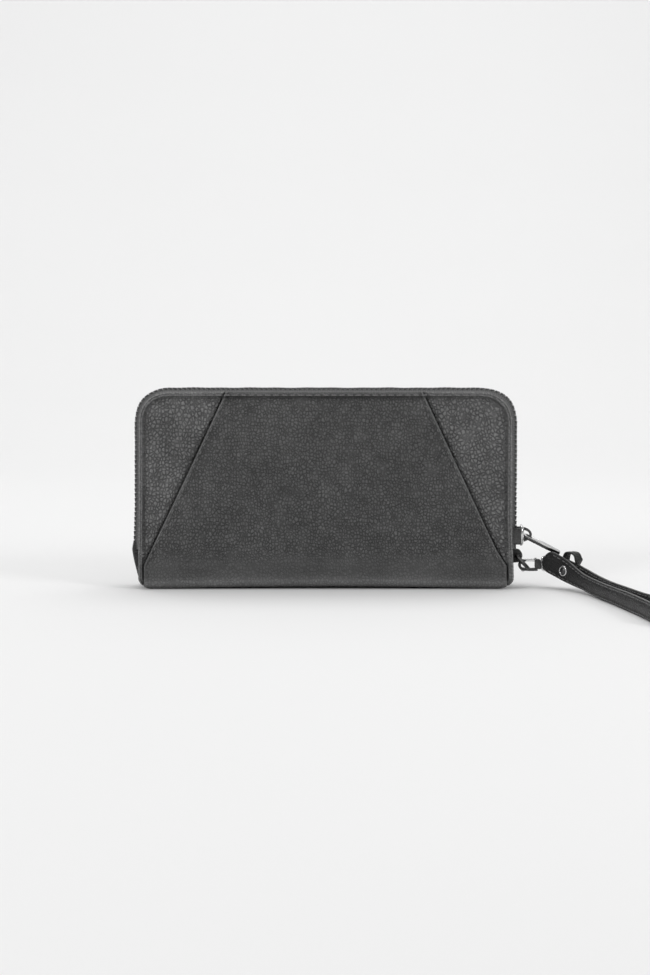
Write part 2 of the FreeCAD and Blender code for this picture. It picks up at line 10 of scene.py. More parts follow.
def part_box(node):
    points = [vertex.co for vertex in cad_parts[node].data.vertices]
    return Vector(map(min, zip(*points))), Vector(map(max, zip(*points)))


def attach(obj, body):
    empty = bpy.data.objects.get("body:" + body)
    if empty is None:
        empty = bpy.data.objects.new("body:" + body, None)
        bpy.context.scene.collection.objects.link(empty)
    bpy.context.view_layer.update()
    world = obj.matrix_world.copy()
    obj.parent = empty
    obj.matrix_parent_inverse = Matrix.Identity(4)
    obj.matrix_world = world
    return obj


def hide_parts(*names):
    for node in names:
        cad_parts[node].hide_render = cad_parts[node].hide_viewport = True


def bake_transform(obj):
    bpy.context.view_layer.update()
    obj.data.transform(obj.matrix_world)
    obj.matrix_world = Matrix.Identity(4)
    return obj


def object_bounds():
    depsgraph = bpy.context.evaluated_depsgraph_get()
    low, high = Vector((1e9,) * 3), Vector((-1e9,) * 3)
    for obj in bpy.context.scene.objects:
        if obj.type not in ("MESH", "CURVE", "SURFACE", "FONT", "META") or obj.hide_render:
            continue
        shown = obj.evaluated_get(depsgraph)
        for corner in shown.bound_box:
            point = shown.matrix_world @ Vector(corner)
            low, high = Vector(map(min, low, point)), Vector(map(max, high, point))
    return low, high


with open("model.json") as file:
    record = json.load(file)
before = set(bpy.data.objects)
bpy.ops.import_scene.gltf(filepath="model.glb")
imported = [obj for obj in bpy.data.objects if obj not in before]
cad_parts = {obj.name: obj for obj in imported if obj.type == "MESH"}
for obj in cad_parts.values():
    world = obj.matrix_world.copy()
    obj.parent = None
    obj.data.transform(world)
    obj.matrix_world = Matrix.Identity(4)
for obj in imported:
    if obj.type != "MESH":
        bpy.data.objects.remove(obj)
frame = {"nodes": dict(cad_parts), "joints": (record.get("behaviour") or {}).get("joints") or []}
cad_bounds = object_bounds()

# A zip-around long wallet that stands on its spine, with a clip-on wrist strap.
# Shapes are worked out in millimetres and made in metres. +X runs along the wallet towards
# the strap, +Y from the front cover to the back cover, +Z from the spine up to the zip.

MM = 0.001


def place(node):
    """A CAD node's lowest and highest corners, in millimetres."""
    low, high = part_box(node)
    return np.array(low) / MM, np.array(high) / MM


def pivot(joint):
    """The point that a joint turns about, in millimetres."""
    found = next(j for j in frame["joints"] if j["name"] == joint)
    return np.array(found["pos_m"]) / MM


# Driving dimensions
BACK_LOW, BACK_HIGH = place("back_panel")
HALF_X = BACK_HIGH[0]               # covers, from the middle to either end
TOP_Z = BACK_HIGH[2]
HALF_Y = BACK_HIGH[1]
LEATHER = BACK_HIGH[1] - BACK_LOW[1]
HINGE_Z = HALF_Y
TOP_ROUND = 16.5                    # upper corners of the covers
BASE_ROUND = 6.4                    # lower corners, seen from the front
SPINE_ROUND = 5.2                   # lower edges, seen from the end
SPINE_FLAT = HALF_Y - SPINE_ROUND
SEAM_TOP_X = 50.5                   # the slanting seams at the upper edge
SEAM_LOW_X = 92.4                   # and where they meet the spine
SEAM_GAP = 0.3
SEAM_LAP = 1.3                      # how far a side panel runs under the centre one
BASE_ARCH = 1.25                    # how far the base lifts off the floor at the middle
CORNER_PUSH = (0.85, 1.3)           # the covers' left and right upper corners are a little squarer
ZIP_BULGE = 0.9                     # how far the right-hand end of the zip stands out
LEFT_BULGE = 0.5
BASE_FLARE = (0.6, 1.2)             # the covers' lower ends spread a little past the upper ones
RIGHT_SPREAD = 1.3                  # and the right-hand rim lies a little further out

GROOVE_DEPTH = 0.6                  # a deeper groove presses the leather's inner face in too

STITCH_PITCH = 4.2
STITCH_LENGTH = 3.1
STITCH_WIDTH = 0.55
EDGE_STITCH_INSET = 1.65
SEAM_STITCH_INSET = 1.6

# Height of a cover's leather above its flat face, by distance in from the edge
RIM_AT = [0, 0.12, 0.3, 0.6, 0.85, 1.0, 1.2, 1.45, 1.65, 1.9, 2.15, 2.4, 2.7,
          3.1, 3.7, 4.8, 7.5, 14, 30, 60]
RIM_HIGH = [-0.6, -0.26, 0.02, 0.1, -0.08, -0.36, -0.16, -0.04, -0.12, -0.04, -0.1, -0.4, -0.85,
            -0.6, -0.05, 0.42, 0.75, 0.95, 1.1, 1.2]
# Painted light and shade: share added to the tone, by distance from the edge and from a seam. Round the
# rim: painted shade on the edge's rounding and in the groove, with a painted highlight line between. At a
# seam: painted shade in the seam line with a painted highlight on the centre panel's lapped edge, and
# painted shade on the side panel beside it.
RIM_PAINTED_LIGHT_AT = [0, 0.3, 0.5, 0.8, 1.0, 1.35, 1.7, 2.0, 2.3, 2.95, 3.7, 5.5]
RIM_PAINTED_LIGHT = [-0.5, -0.4, 0.6, 0.6, -0.45, -0.45, -0.1, -0.3, -0.65, -0.6, -0.1, 0]
CENTRE_SEAM_PAINTED_LIGHT_AT = [0, 0.2, 0.4, 0.85, 1.2, 2.4, 4.0]
CENTRE_SEAM_PAINTED_LIGHT = [-0.5, 0.0, 0.6, 0.5, -0.2, -0.1, 0]
SIDE_SEAM_PAINTED_SHADE_AT = [0, 0.5, 1.0, 1.8, 3.0]
SIDE_SEAM_PAINTED_SHADE = [-0.65, -0.45, -0.2, -0.05, 0]
PAINTED_LIGHT_LIMITS = (-0.75, 0.8)
# Extra height beside a slanting seam, by distance from it, on its two sides
SEAM_AT = [0, 0.12, 0.35, 0.6, 0.95, 1.3, 1.6, 1.95, 2.6, 4.5, 8, 12]
CENTRE_SEAM_HIGH = [-1.2, -0.5, -0.02, 0.08, -0.08, -0.42, -0.7, -0.55, -0.3, -0.12, -0.03, 0]
SIDE_SEAM_HIGH = [-2.2, -2.1, -1.9, -1.65, -1.3, -1.05, -0.85, -0.7, -0.5, -0.25, -0.06, 0]

# The wrist strap's centre line: down the near leg, round the loop and back up the far leg, in metres
STRAP_ROUTE = [
    (0.1136, -0.0028, 0.0150),
    (0.1214, -0.0088, 0.0113),
    (0.1270, -0.0162, 0.0080),
    (0.1320, -0.0285, 0.0056),
    (0.1360, -0.0450, 0.0047),
    (0.1396, -0.0620, 0.0046),
    (0.1436, -0.0820, 0.0046),
    (0.1474, -0.1030, 0.0046),
    (0.1506, -0.1230, 0.0046),
    (0.1522, -0.1400, 0.0046),
    (0.1595, -0.1545, 0.0046),
    (0.1740, -0.1585, 0.0046),
    (0.1845, -0.1480, 0.0046),
    (0.1810, -0.1325, 0.0046),
    (0.1695, -0.1210, 0.0046),
    (0.1600, -0.1120, 0.0046),
    (0.1540, -0.0990, 0.0046),
    (0.1496, -0.0820, 0.0046),
    (0.1456, -0.0650, 0.0046),
    (0.1420, -0.0480, 0.0047),
    (0.1382, -0.0325, 0.0052),
    (0.1334, -0.0185, 0.0074),
    (0.1281, -0.0088, 0.0099),
    (0.1220, -0.0028, 0.0119),
]
STRAP_WIDTH = 9.0
STRAP_THICK = 2.2


# Camera, in metres

CAMERA_AT = (0.0004, -1.1825, 0.150)
CAMERA_AIM_Y = -0.0125
CAMERA_AIM_RISE = 0.0019            # above the middle of the covers
CAMERA_LENS = 84.7


def make_camera():
    """In front of the wallet and a little above it, looking slightly down at its front."""
    data = bpy.data.cameras.new("camera")
    data.sensor_width = 36.0
    data.lens = CAMERA_LENS
    data.clip_start = 0.01
    data.clip_end = 60.0
    camera = bpy.data.objects.new("camera", data)
    bpy.context.scene.collection.objects.link(camera)
    middle = (cad_bounds[0][2] + TOP_Z * MM) / 2
    camera.location = CAMERA_AT
    aim = Vector((CAMERA_AT[0], CAMERA_AIM_Y, middle + CAMERA_AIM_RISE))
    camera.rotation_euler = (aim - camera.location).to_track_quat("-Z", "Y").to_euler()
    bpy.context.scene.camera = camera


# Materials

WAVE_REPEAT = 0.314                 # a wave texture of scale 1 repeats after this many metres
BUMPY, FLAT = 1.0, 0.2              # how much of the grain's relief is left, plain and pressed


class Finish:
    """A procedural material, with short calls that add and join its nodes."""

    def __init__(self, name, **sockets):
        self.material = bpy.data.materials.new(name)
        self.material.use_nodes = True
        self.tree = self.material.node_tree
        self.shader = self.tree.nodes["Principled BSDF"]
        self.set(self.shader, sockets)

    def set(self, node, inputs):
        for key, value in inputs.items():
            key = key.replace("_", " ") if isinstance(key, str) else key
            if isinstance(value, bpy.types.NodeSocket):
                self.tree.links.new(value, node.inputs[key])
            else:
                node.inputs[key].default_value = value

    def add(self, kind, inputs=None, **settings):
        node = self.tree.nodes.new("ShaderNode" + kind)
        for key, value in settings.items():
            setattr(node, key, value)
        self.set(node, inputs or {})
        return node

    def surface(self):
        """Coordinates along the leather's own surface, in metres."""
        return self.add("UVMap").outputs["UV"]

    def space(self):
        return self.add("TexCoord").outputs["Object"]

    def pressed(self):
        """How far the grain is pressed flat, from 0 to 1, as under the stitched rims."""
        return self.add("Attribute", attribute_name="pressed").outputs["Fac"]

    def with_painted_light(self, colour, uneven):
        """The colour, scaled by the mesh's painted light and shade: painted shade in the grooves and seams
        and painted highlights along the edges, with a random unevenness added.
        """
        share = self.math("ADD", self.add("Attribute", attribute_name="painted_light").outputs["Fac"], 1.0)
        share = self.math("ADD", share, uneven)
        made = self.add("VectorMath", {0: colour, "Scale": share}, operation="SCALE")
        return made.outputs[0]

    def noise(self, where, size, detail=2.0, rough=0.5):
        """Soft noise from 0 to 1, with patches about this many metres across."""
        made = self.add("TexNoise", {"Vector": where, "Scale": 1.0 / size, "Detail": detail,
                                     "Roughness": rough})
        return made.outputs["Fac"]

    def shift(self, where, size, amount):
        """The coordinates, pushed about by noise."""
        wander = self.add("TexNoise", {"Vector": where, "Scale": 1.0 / size, "Detail": 2.0})
        moved = self.add("VectorMath", {0: wander.outputs["Color"], 1: (amount,) * 3},
                         operation="MULTIPLY")
        return self.add("VectorMath", {0: where, 1: moved.outputs[0]}, operation="ADD").outputs[0]

    def stretch(self, where, scale):
        return self.add("Mapping", {"Vector": where, "Scale": scale}).outputs[0]

    def range(self, value, low, high, to_low, to_high, smooth=True):
        made = self.add("MapRange", {"Value": value, "From_Min": low, "From_Max": high,
                                     "To_Min": to_low, "To_Max": to_high},
                        interpolation_type="SMOOTHSTEP" if smooth else "LINEAR")
        return made.outputs["Result"]

    def math(self, operation, a, b):
        return self.add("Math", {0: a, 1: b}, operation=operation).outputs[0]

    def blend(self, factor, a, b):
        made = self.add("Mix", data_type="RGBA")
        for socket, value in ((made.inputs[0], factor), (made.inputs[6], a), (made.inputs[7], b)):
            if isinstance(value, bpy.types.NodeSocket):
                self.tree.links.new(value, socket)
            else:
                socket.default_value = value
        return made.outputs[2]

    def bump(self, height, depth, strength=1.0):
        made = self.add("Bump", {"Height": height, "Distance": depth, "Strength": strength})
        self.tree.links.new(made.outputs[0], self.shader.inputs["Normal"])


def grey(value, warmth=0.0):
    return (value * (1 + warmth), value, value * (1 - warmth), 1.0)


def pebbled_leather(name, pebble, depth, tone, rough, shine=0.5, crease=0.36, spots=1.3):
    """Full-grain leather: rounded pebbles with creases between them, sized in metres."""
    f = Finish(name, Specular_IOR_Level=shine)
    where = f.shift(f.stretch(f.surface(), (1.0, 0.84, 1.0)), pebble * 2.0, pebble * 0.8)
    where = f.shift(where, pebble * 9.0, pebble * 2.0)
    edges = f.add("TexVoronoi", {"Vector": where, "Scale": 1.0 / pebble, "Randomness": 0.8},
                  feature="DISTANCE_TO_EDGE").outputs["Distance"]
    domes = f.add("TexVoronoi", {"Vector": where, "Scale": 1.0 / pebble, "Randomness": 0.8,
                                 "Smoothness": 0.5}, feature="SMOOTH_F1").outputs["Distance"]
    small = f.add("TexVoronoi", {"Vector": where, "Scale": 2.1 / pebble, "Randomness": 1.0},
                  feature="DISTANCE_TO_EDGE").outputs["Distance"]
    healed = f.range(f.noise(f.surface(), pebble * 1.3, 2.0), 0.52, 0.74, 0.0, 0.6)
    plateau = f.math("MAXIMUM", f.range(edges, 0.02, 0.24, 0.0, 1.0), healed)
    fine = f.range(small, 0.0, 0.3, 0.0, 1.0)
    pores = f.noise(f.surface(), 0.00030, 3.0)
    broad = f.noise(f.surface(), 0.030, 3.0)
    loose = f.noise(f.surface(), pebble * 4.0, 2.0)
    height = f.math("ADD", f.math("MULTIPLY", plateau, 0.62), f.math("MULTIPLY", domes, -0.60))
    height = f.math("ADD", height, f.math("MULTIPLY", fine, 0.14))
    height = f.math("ADD", height, f.math("MULTIPLY", pores, 0.10))
    relief = f.math("MULTIPLY", f.range(loose, 0.3, 0.7, 0.55, 1.15),
                    f.range(f.pressed(), 0.0, 1.0, BUMPY, FLAT))
    height = f.math("MULTIPLY", height, relief)
    height = f.math("ADD", height, f.math("MULTIPLY", loose, 0.5))
    top = f.math("ADD", f.math("MULTIPLY", plateau, 0.8), f.math("MULTIPLY", fine, 0.2))
    fade = f.math("MAXIMUM", f.range(loose, 0.25, 0.6, 0.25, 0.0), f.math("MULTIPLY", f.pressed(), 0.5))
    top = f.math("MAXIMUM", top, fade)
    # The creases take a darker colour: painted shade between the pebbles.
    crease_painted_shade = f.blend(broad, grey(tone * crease), grey(tone * (crease + 0.08)))
    # The pebble tops vary at random in tone, and the brightest stand in for painted highlights on the
    # pebbles.
    lit = f.blend(f.noise(f.surface(), pebble * 1.5, 1.0), grey(tone * 0.85), grey(tone * spots))
    uneven = f.range(broad, 0.3, 0.7, -0.14, 0.14)
    worn = f.math("ADD", f.range(plateau, 0.0, 1.0, rough + 0.18, rough),
                  f.range(pores, 0.3, 0.7, -0.05, 0.05))
    f.set(f.shader, {"Base_Color": f.with_painted_light(f.blend(top, crease_painted_shade, lit), uneven), "Roughness": worn})
    f.bump(height, depth)
    return f.material


def painted_edge():
    """The sealed, burnished cut edge of the leather."""
    f = Finish("painted_edge", Specular_IOR_Level=0.6)
    along = f.noise(f.space(), 0.0012, 4.0)
    f.set(f.shader, {"Base_Color": f.blend(along, grey(0.055), grey(0.100)),
                     "Roughness": f.range(along, 0.3, 0.7, 0.34, 0.52)})
    f.bump(along, 0.00006)
    return f.material


def woven_cloth(name, pitch, tone, rough=0.75, depth=0.00008):
    """Two crossing sets of threads."""
    f = Finish(name, Specular_IOR_Level=0.25, Sheen_Weight=0.25, Sheen_Roughness=0.5)
    where = f.shift(f.space(), 0.004, 0.00008)
    warp = f.add("TexWave", {"Vector": where, "Scale": WAVE_REPEAT / pitch, "Distortion": 0.4},
                 bands_direction="X").outputs["Fac"]
    weft = f.add("TexWave", {"Vector": where, "Scale": WAVE_REPEAT / pitch, "Distortion": 0.4},
                 bands_direction="Z").outputs["Fac"]
    weave = f.math("MULTIPLY", f.math("ADD", warp, weft), 0.5)
    broad = f.noise(f.space(), 0.02, 2.0)
    thread = f.blend(weave, grey(tone * 0.55), grey(tone * 1.25))
    f.set(f.shader, {"Base_Color": f.blend(f.math("MULTIPLY", broad, 0.35), thread, grey(tone * 0.8)),
                     "Roughness": f.range(weave, 0.0, 1.0, rough + 0.1, rough)})
    f.bump(weave, depth)
    return f.material


def zip_tape_cloth():
    """Woven tape with ribs across it, along the zip's own length."""
    f = Finish("zip_tape_cloth", Specular_IOR_Level=0.3, Sheen_Weight=0.15)
    where = f.surface()
    ribs = f.add("TexWave", {"Vector": where, "Scale": WAVE_REPEAT / 0.0009, "Distortion": 0.5},
                 bands_direction="X").outputs["Fac"]
    cords = f.add("TexWave", {"Vector": where, "Scale": WAVE_REPEAT / 0.0007, "Distortion": 0.8},
                  bands_direction="Y").outputs["Fac"]
    weave = f.math("ADD", f.math("MULTIPLY", ribs, 0.6), f.math("MULTIPLY", cords, 0.4))
    f.set(f.shader, {"Base_Color": f.blend(weave, grey(0.022), grey(0.062)),
                     "Roughness": f.range(weave, 0.0, 1.0, 0.8, 0.6)})
    f.bump(weave, 0.00012)
    return f.material


def sewing_thread():
    """Twisted plies with a little fuzz."""
    f = Finish("sewing_thread", Specular_IOR_Level=0.4, Sheen_Weight=0.2)
    ply = f.add("TexWave", {"Vector": f.space(), "Scale": WAVE_REPEAT / 0.0005, "Distortion": 1.5},
                bands_direction="DIAGONAL").outputs["Fac"]
    fuzz = f.noise(f.space(), 0.0004, 3.0)
    f.set(f.shader, {"Base_Color": f.blend(ply, grey(0.09), grey(0.19)),
                     "Roughness": f.range(fuzz, 0.2, 0.8, 0.45, 0.7)})
    f.bump(ply, 0.00008)
    return f.material


def metal(name, tone, rough, wear, tint=0.0):
    """Plated zinc alloy, with fine polishing marks and duller patches."""
    f = Finish(name, Metallic=1.0, Specular_IOR_Level=0.5)
    marks = f.noise(f.stretch(f.space(), (1.0, 4.0, 1.0)), 0.0009, 4.0)
    patches = f.noise(f.space(), 0.004, 3.0)
    worn = f.range(patches, 0.45, 0.75, 0.0, wear)
    f.set(f.shader, {"Base_Color": f.blend(worn, grey(tone, tint), grey(tone * 0.62, tint)),
                     "Roughness": f.range(marks, 0.25, 0.75, rough * 0.75, rough * 1.35)})
    f.bump(marks, 0.000012)
    return f.material


def foam_finish():
    """Dark open-cell foam."""
    f = Finish("foam_padding", Specular_IOR_Level=0.2)
    cells = f.add("TexVoronoi", {"Vector": f.space(), "Scale": 1.0 / 0.0006},
                  feature="F1").outputs["Distance"]
    f.set(f.shader, {"Base_Color": f.blend(cells, grey(0.045), grey(0.085, 0.02)),
                     "Roughness": f.range(cells, 0.0, 1.0, 0.95, 0.8)})
    f.bump(cells, 0.0002)
    return f.material


def board_finish():
    """Dark pressed-fibre board."""
    f = Finish("grey_board", Specular_IOR_Level=0.2)
    fibres = f.noise(f.stretch(f.space(), (1.0, 1.0, 5.0)), 0.0011, 5.0)
    f.set(f.shader, {"Base_Color": f.blend(fibres, grey(0.06, 0.03), grey(0.11, 0.04)),
                     "Roughness": f.range(fibres, 0.2, 0.8, 0.95, 0.75)})
    f.bump(fibres, 0.00005)
    return f.material


def studio_paper():
    """Matt off-white paper."""
    f = Finish("studio_paper", Specular_IOR_Level=0.0)
    mottle = f.noise(f.space(), 0.5, 2.0)
    f.set(f.shader, {"Base_Color": f.blend(mottle, grey(0.83), grey(0.85)), "Roughness": 0.95})
    return f.material


M = {
    "centre": pebbled_leather("pebbled_leather_centre", 0.00150, 0.00110, 0.090, 0.38),
    # The side panels take a lighter copy of the same leather with brighter pebble tops: a painted sheen
    # where the outer panels catch the lamps.
    "side": pebbled_leather("pebbled_leather_sides_painted_sheen", 0.00168, 0.00130, 0.125, 0.34, 0.6, 0.32, 1.65),
    "back": pebbled_leather("pebbled_leather_back", 0.00160, 0.00110, 0.090, 0.38),
    "strap": pebbled_leather("strap_leather_grain", 0.00110, 0.00040, 0.022, 0.36, 0.35, 0.6),
    "inner": pebbled_leather("inner_leather_grain", 0.00080, 0.00012, 0.062, 0.54, 0.5, 0.7),
    "edge": painted_edge(),
    "lining": woven_cloth("lining_weave", 0.00055, 0.050),
    "tape": zip_tape_cloth(),
    "thread": sewing_thread(),
    "teeth": metal("dark_plated_teeth", 0.075, 0.48, 0.5),
    "dark": metal("gunmetal_plate", 0.085, 0.30, 0.4),
    "bright": metal("polished_nickel", 0.66, 0.13, 0.25),
    "foam": foam_finish(),
    "board": board_finish(),
}


# Meshes

def add_mesh(name, verts, faces, materials, uv=None, kinds=None, sharp=None, pressed=None,
             painted_light=None):
    """One closed mesh from points in millimetres. kinds picks each face's material.

    pressed and the painted light and shade on the tone are given on one face of a sheet, and hold for its
    other face too.
    """
    mesh = bpy.data.meshes.new(name)
    mesh.from_pydata((np.asarray(verts, float) * MM).tolist(), [], faces)
    for key in materials:
        mesh.materials.append(M[key])
    if kinds is not None:
        mesh.polygons.foreach_set("material_index", np.asarray(kinds, np.int32))
    if uv is not None:
        corners = np.empty(len(mesh.loops), np.int32)
        mesh.loops.foreach_get("vertex_index", corners)
        layer = mesh.uv_layers.new(name="surface")
        layer.data.foreach_set("uv", (np.asarray(uv, float)[corners] * MM).ravel())
    # The painted shade and highlights on the tone ride on the mesh as a point attribute.
    for key, value in (("pressed", pressed), ("painted_light", painted_light)):
        if value is not None:
            both = np.tile(np.ravel(value), 2).astype(np.float32)
            mesh.attributes.new(key, "FLOAT", "POINT").data.foreach_set("value", both)
    work = bmesh.new()
    work.from_mesh(mesh)
    bmesh.ops.recalc_face_normals(work, faces=work.faces)
    work.to_mesh(mesh)
    work.free()
    mesh.polygons.foreach_set("use_smooth", np.ones(len(mesh.polygons), bool))
    if sharp:
        mesh.set_sharp_from_angle(angle=math.radians(sharp))
    mesh.update()
    obj = bpy.data.objects.new(name, mesh)
    bpy.context.scene.collection.objects.link(obj)
    return obj


def stand_in(obj, node, body):
    """The piece stands in for its CAD node, which it hides, and rides on the body."""
    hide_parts(node)
    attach(obj, body)


class Shapes:
    """Collects closed shapes into one mesh."""

    def __init__(self):
        self.verts, self.faces, self.kinds, self.uv = [], [], [], []
        self.count = 0

    def add(self, verts, faces, kind=0, uv=None):
        verts = np.asarray(verts, float)
        self.verts.append(verts)
        self.faces += [[i + self.count for i in face] for face in faces]
        self.kinds += [kind] * len(faces)
        self.uv.append(np.asarray(uv, float) if uv is not None else verts[:, [0, 2]])
        self.count += len(verts)
        return self

    def make(self, name, materials, sharp=None):
        return add_mesh(name, np.concatenate(self.verts), self.faces, materials,
                        np.concatenate(self.uv), self.kinds, sharp)


def grid_faces(rows, columns, wrap=False):
    """Four-sided faces between neighbouring rows of points."""
    faces = []
    for r in range(rows - 1):
        for c in range(columns if wrap else columns - 1):
            d = (c + 1) % columns
            a, b = r * columns, (r + 1) * columns
            faces.append([a + c, a + d, b + d, b + c])
    return faces


def skin(outer, inner, uv):
    """A closed sheet between two grids of points. The faces round its border are kind 1."""
    rows, columns = outer.shape[:2]
    verts = np.concatenate([outer.reshape(-1, 3), inner.reshape(-1, 3)])
    count = rows * columns
    top = grid_faces(rows, columns)
    below = [[i + count for i in reversed(face)] for face in top]
    ring = list(range(columns))
    ring += [r * columns + columns - 1 for r in range(1, rows)]
    ring += [(rows - 1) * columns + c for c in range(columns - 2, -1, -1)]
    ring += [r * columns for r in range(rows - 2, 0, -1)]
    border = [[a, b, b + count, a + count] for a, b in zip(ring, ring[1:] + ring[:1])]
    kinds = [0] * (2 * len(top)) + [1] * len(border)
    flat = uv.reshape(-1, 2)
    return verts, top + below + border, kinds, np.concatenate([flat, flat])


def spread_steps(length, fine, coarse, margin):
    """Places from 0 to a length: fine steps within the margin of either end, coarse between."""
    near = np.arange(0, margin, fine)
    middle = np.linspace(margin, length - margin, max(2, int((length - 2 * margin) / coarse) + 1))
    return np.concatenate([near, middle, length - near[::-1]])


def stacked(outline_at, levels):
    """A closed shape from a stack of equal rings. outline_at(level) gives a ring's points."""
    rings = [np.asarray(outline_at(level), float) for level in levels]
    columns = len(rings[0])
    faces = grid_faces(len(rings), columns, wrap=True)
    faces.append(list(range(columns))[::-1])
    last = (len(rings) - 1) * columns
    faces.append([last + c for c in range(columns)])
    return np.concatenate(rings), faces


def rounded_box(low, high, radius, edge=0.25, steps=5):
    """A block with rounded upright corners and softened upper and lower edges."""
    (x0, y0, z0), (x1, y1, z1) = low, high
    edge = min(edge, (z1 - z0) / 2.2)

    def ring(level):
        inset, z = level
        r = max(radius - inset, 0.02)
        points = []
        for cx, cy, turn in ((x1, y1, 0), (x0, y1, 90), (x0, y0, 180), (x1, y0, 270)):
            sx = 1 if cx == x1 else -1
            sy = 1 if cy == y1 else -1
            for k in range(steps + 1):
                a = math.radians(turn + 90 * k / steps)
                points.append((cx - sx * (inset + r) + r * math.cos(a),
                               cy - sy * (inset + r) + r * math.sin(a), z))
        return points

    curve = [(edge * (1 - math.sin(a)), edge * (1 - math.cos(a)))
             for a in np.linspace(0, math.pi / 2, 4)]
    levels = [(inset, z0 + rise) for inset, rise in curve]
    levels += [(inset, z1 - rise) for inset, rise in reversed(curve)]
    return stacked(ring, levels)


def swept(points, section, closed=False, up=None, scale=None):
    """A section, as (side, up) offsets, carried along a path. Round wires give no up."""
    points = np.asarray(points, float)
    count = len(points)
    if closed:
        ways = np.roll(points, -1, 0) - np.roll(points, 1, 0)
    else:
        ways = np.gradient(points, axis=0)
    ways /= np.linalg.norm(ways, axis=1)[:, None]
    rings = []
    side = None
    for i in range(count):
        way = ways[i]
        if up is not None:
            lead = np.asarray(up, float)
            lead = lead[i] if lead.ndim == 2 else lead
            upright = lead - way * np.dot(lead, way)
        elif side is None:
            guess = np.array([0, 0, 1.0]) if abs(way[2]) < 0.9 else np.array([1.0, 0, 0])
            upright = guess - way * np.dot(guess, way)
        else:
            upright = np.cross(side, way)
        upright /= np.linalg.norm(upright)
        side = np.cross(way, upright)
        size = 1.0 if scale is None else scale[i]
        shape = section(i) if callable(section) else section
        rings.append([points[i] + size * (a * side + b * upright) for a, b in shape])
    columns = len(rings[0])
    faces = grid_faces(count, columns, wrap=True)
    if closed:
        last = (count - 1) * columns
        faces += [[last + c, last + (c + 1) % columns, (c + 1) % columns, c] for c in range(columns)]
    else:
        faces.append(list(range(columns))[::-1])
        faces.append([(count - 1) * columns + c for c in range(columns)])
    return np.concatenate([np.asarray(ring) for ring in rings]), faces


def circle(radius, sides=14):
    return [(radius * math.cos(a), radius * math.sin(a))
            for a in np.linspace(0, 2 * math.pi, sides, endpoint=False)]


def oblong(half_side, half_up, round_by, steps=4):
    """A rectangle with rounded corners, as a section."""
    points = []
    for sx, sy, turn in ((1, 1, 0), (-1, 1, 90), (-1, -1, 180), (1, -1, 270)):
        for k in range(steps + 1):
            a = math.radians(turn + 90 * k / steps)
            points.append((sx * (half_side - round_by) + round_by * math.cos(a),
                           sy * (half_up - round_by) + round_by * math.sin(a)))
    return points


def dome(radius, height, sides=24, rings=7, skirt=0.25):
    """A shallow cap, as (x, y) across and z up, on a short upright skirt."""
    levels = [(1.0, -skirt)]
    levels += [(math.cos(a), height * math.sin(a)) for a in np.linspace(0, math.radians(84), rings)]

    def ring(level):
        share, z = level
        return [(radius * share * math.cos(a), radius * share * math.sin(a), z)
                for a in np.linspace(0, 2 * math.pi, sides, endpoint=False)]

    return stacked(ring, levels)


def turned(verts, axis, degrees, about=(0, 0, 0)):
    """Points turned about an axis through a point."""
    about = np.asarray(about, float)
    axis = np.asarray(axis, float) / np.linalg.norm(axis)
    a = math.radians(degrees)
    p = np.asarray(verts, float) - about
    along = np.outer(p @ axis, axis)
    return about + along + (p - along) * math.cos(a) + np.cross(axis, p) * math.sin(a)


def framed(verts, origin, x_way, y_way, z_way):
    """Points from a local frame to the wallet's."""
    return np.asarray(origin, float) + np.asarray(verts, float) @ np.array([x_way, y_way, z_way], float)


# Stitches

def stitch_shape(length, width):
    """One stitch along X: two plies' worth of thread that dips into its holes."""
    def ring(t):
        radius = width / 2 * (1 - abs(t) ** 4) ** 0.5 + 0.02
        lift = 0.16 - 0.42 * abs(t) ** 3
        return [(t * length / 2, radius * math.cos(a), lift + 0.85 * radius * math.sin(a))
                for a in np.linspace(0, 2 * math.pi, 8, endpoint=False)]
    return stacked(ring, [-1, -0.86, -0.6, -0.25, 0.25, 0.6, 0.86, 1])


def sew(shapes, places, length=STITCH_LENGTH, width=STITCH_WIDTH, kind=0):
    """Stitches at places, each a point, the way along the row and the way out of the leather."""
    verts, faces = stitch_shape(length, width)
    for spot, (point, along, out) in enumerate(places):
        along = np.asarray(along, float) / np.linalg.norm(along)
        out = np.asarray(out, float) / np.linalg.norm(out)
        side = np.cross(out, along)
        slant = 0.05 * math.sin(spot * 2.4)
        shapes.add(framed(verts, point, along + slant * side, side, out), faces, kind)
    return shapes


# Outlines of the covers

def rim_distance(x, z):
    """How far a point of a cover lies inside its upper outline."""
    across = np.abs(x) - (HALF_X - TOP_ROUND)
    above = z - (TOP_Z - TOP_ROUND)
    corner = TOP_ROUND - np.hypot(np.maximum(across, 0), np.maximum(above, 0))
    plain = np.minimum(HALF_X - np.abs(x), TOP_Z - z)
    return np.where((across > 0) & (above > 0), corner, plain)


def outline_x(z):
    """Half the width of the covers and spine at a height."""
    z = np.asarray(z, float)
    above = np.clip(z - (TOP_Z - TOP_ROUND), 0, TOP_ROUND)
    below = np.clip(BASE_ROUND - z, 0, BASE_ROUND)
    top = HALF_X - TOP_ROUND + np.sqrt(np.maximum(TOP_ROUND ** 2 - above ** 2, 0))
    base = HALF_X - BASE_ROUND + np.sqrt(np.maximum(BASE_ROUND ** 2 - below ** 2, 0))
    return np.minimum(top, base)


def seam_x(z):
    """The right-hand slanting seam's x at a height. Below the fold it runs straight down."""
    slope = (SEAM_TOP_X - SEAM_LOW_X) / (TOP_Z - HINGE_Z)
    return np.where(z > HINGE_Z, SEAM_LOW_X + slope * (z - HINGE_Z), SEAM_LOW_X)


SEAM_LEAN = math.atan2(SEAM_LOW_X - SEAM_TOP_X, TOP_Z - HINGE_Z)


def smooth_step(value, low, high):
    t = np.clip((np.asarray(value, float) - low) / (high - low), 0, 1)
    return t * t * (3 - 2 * t)


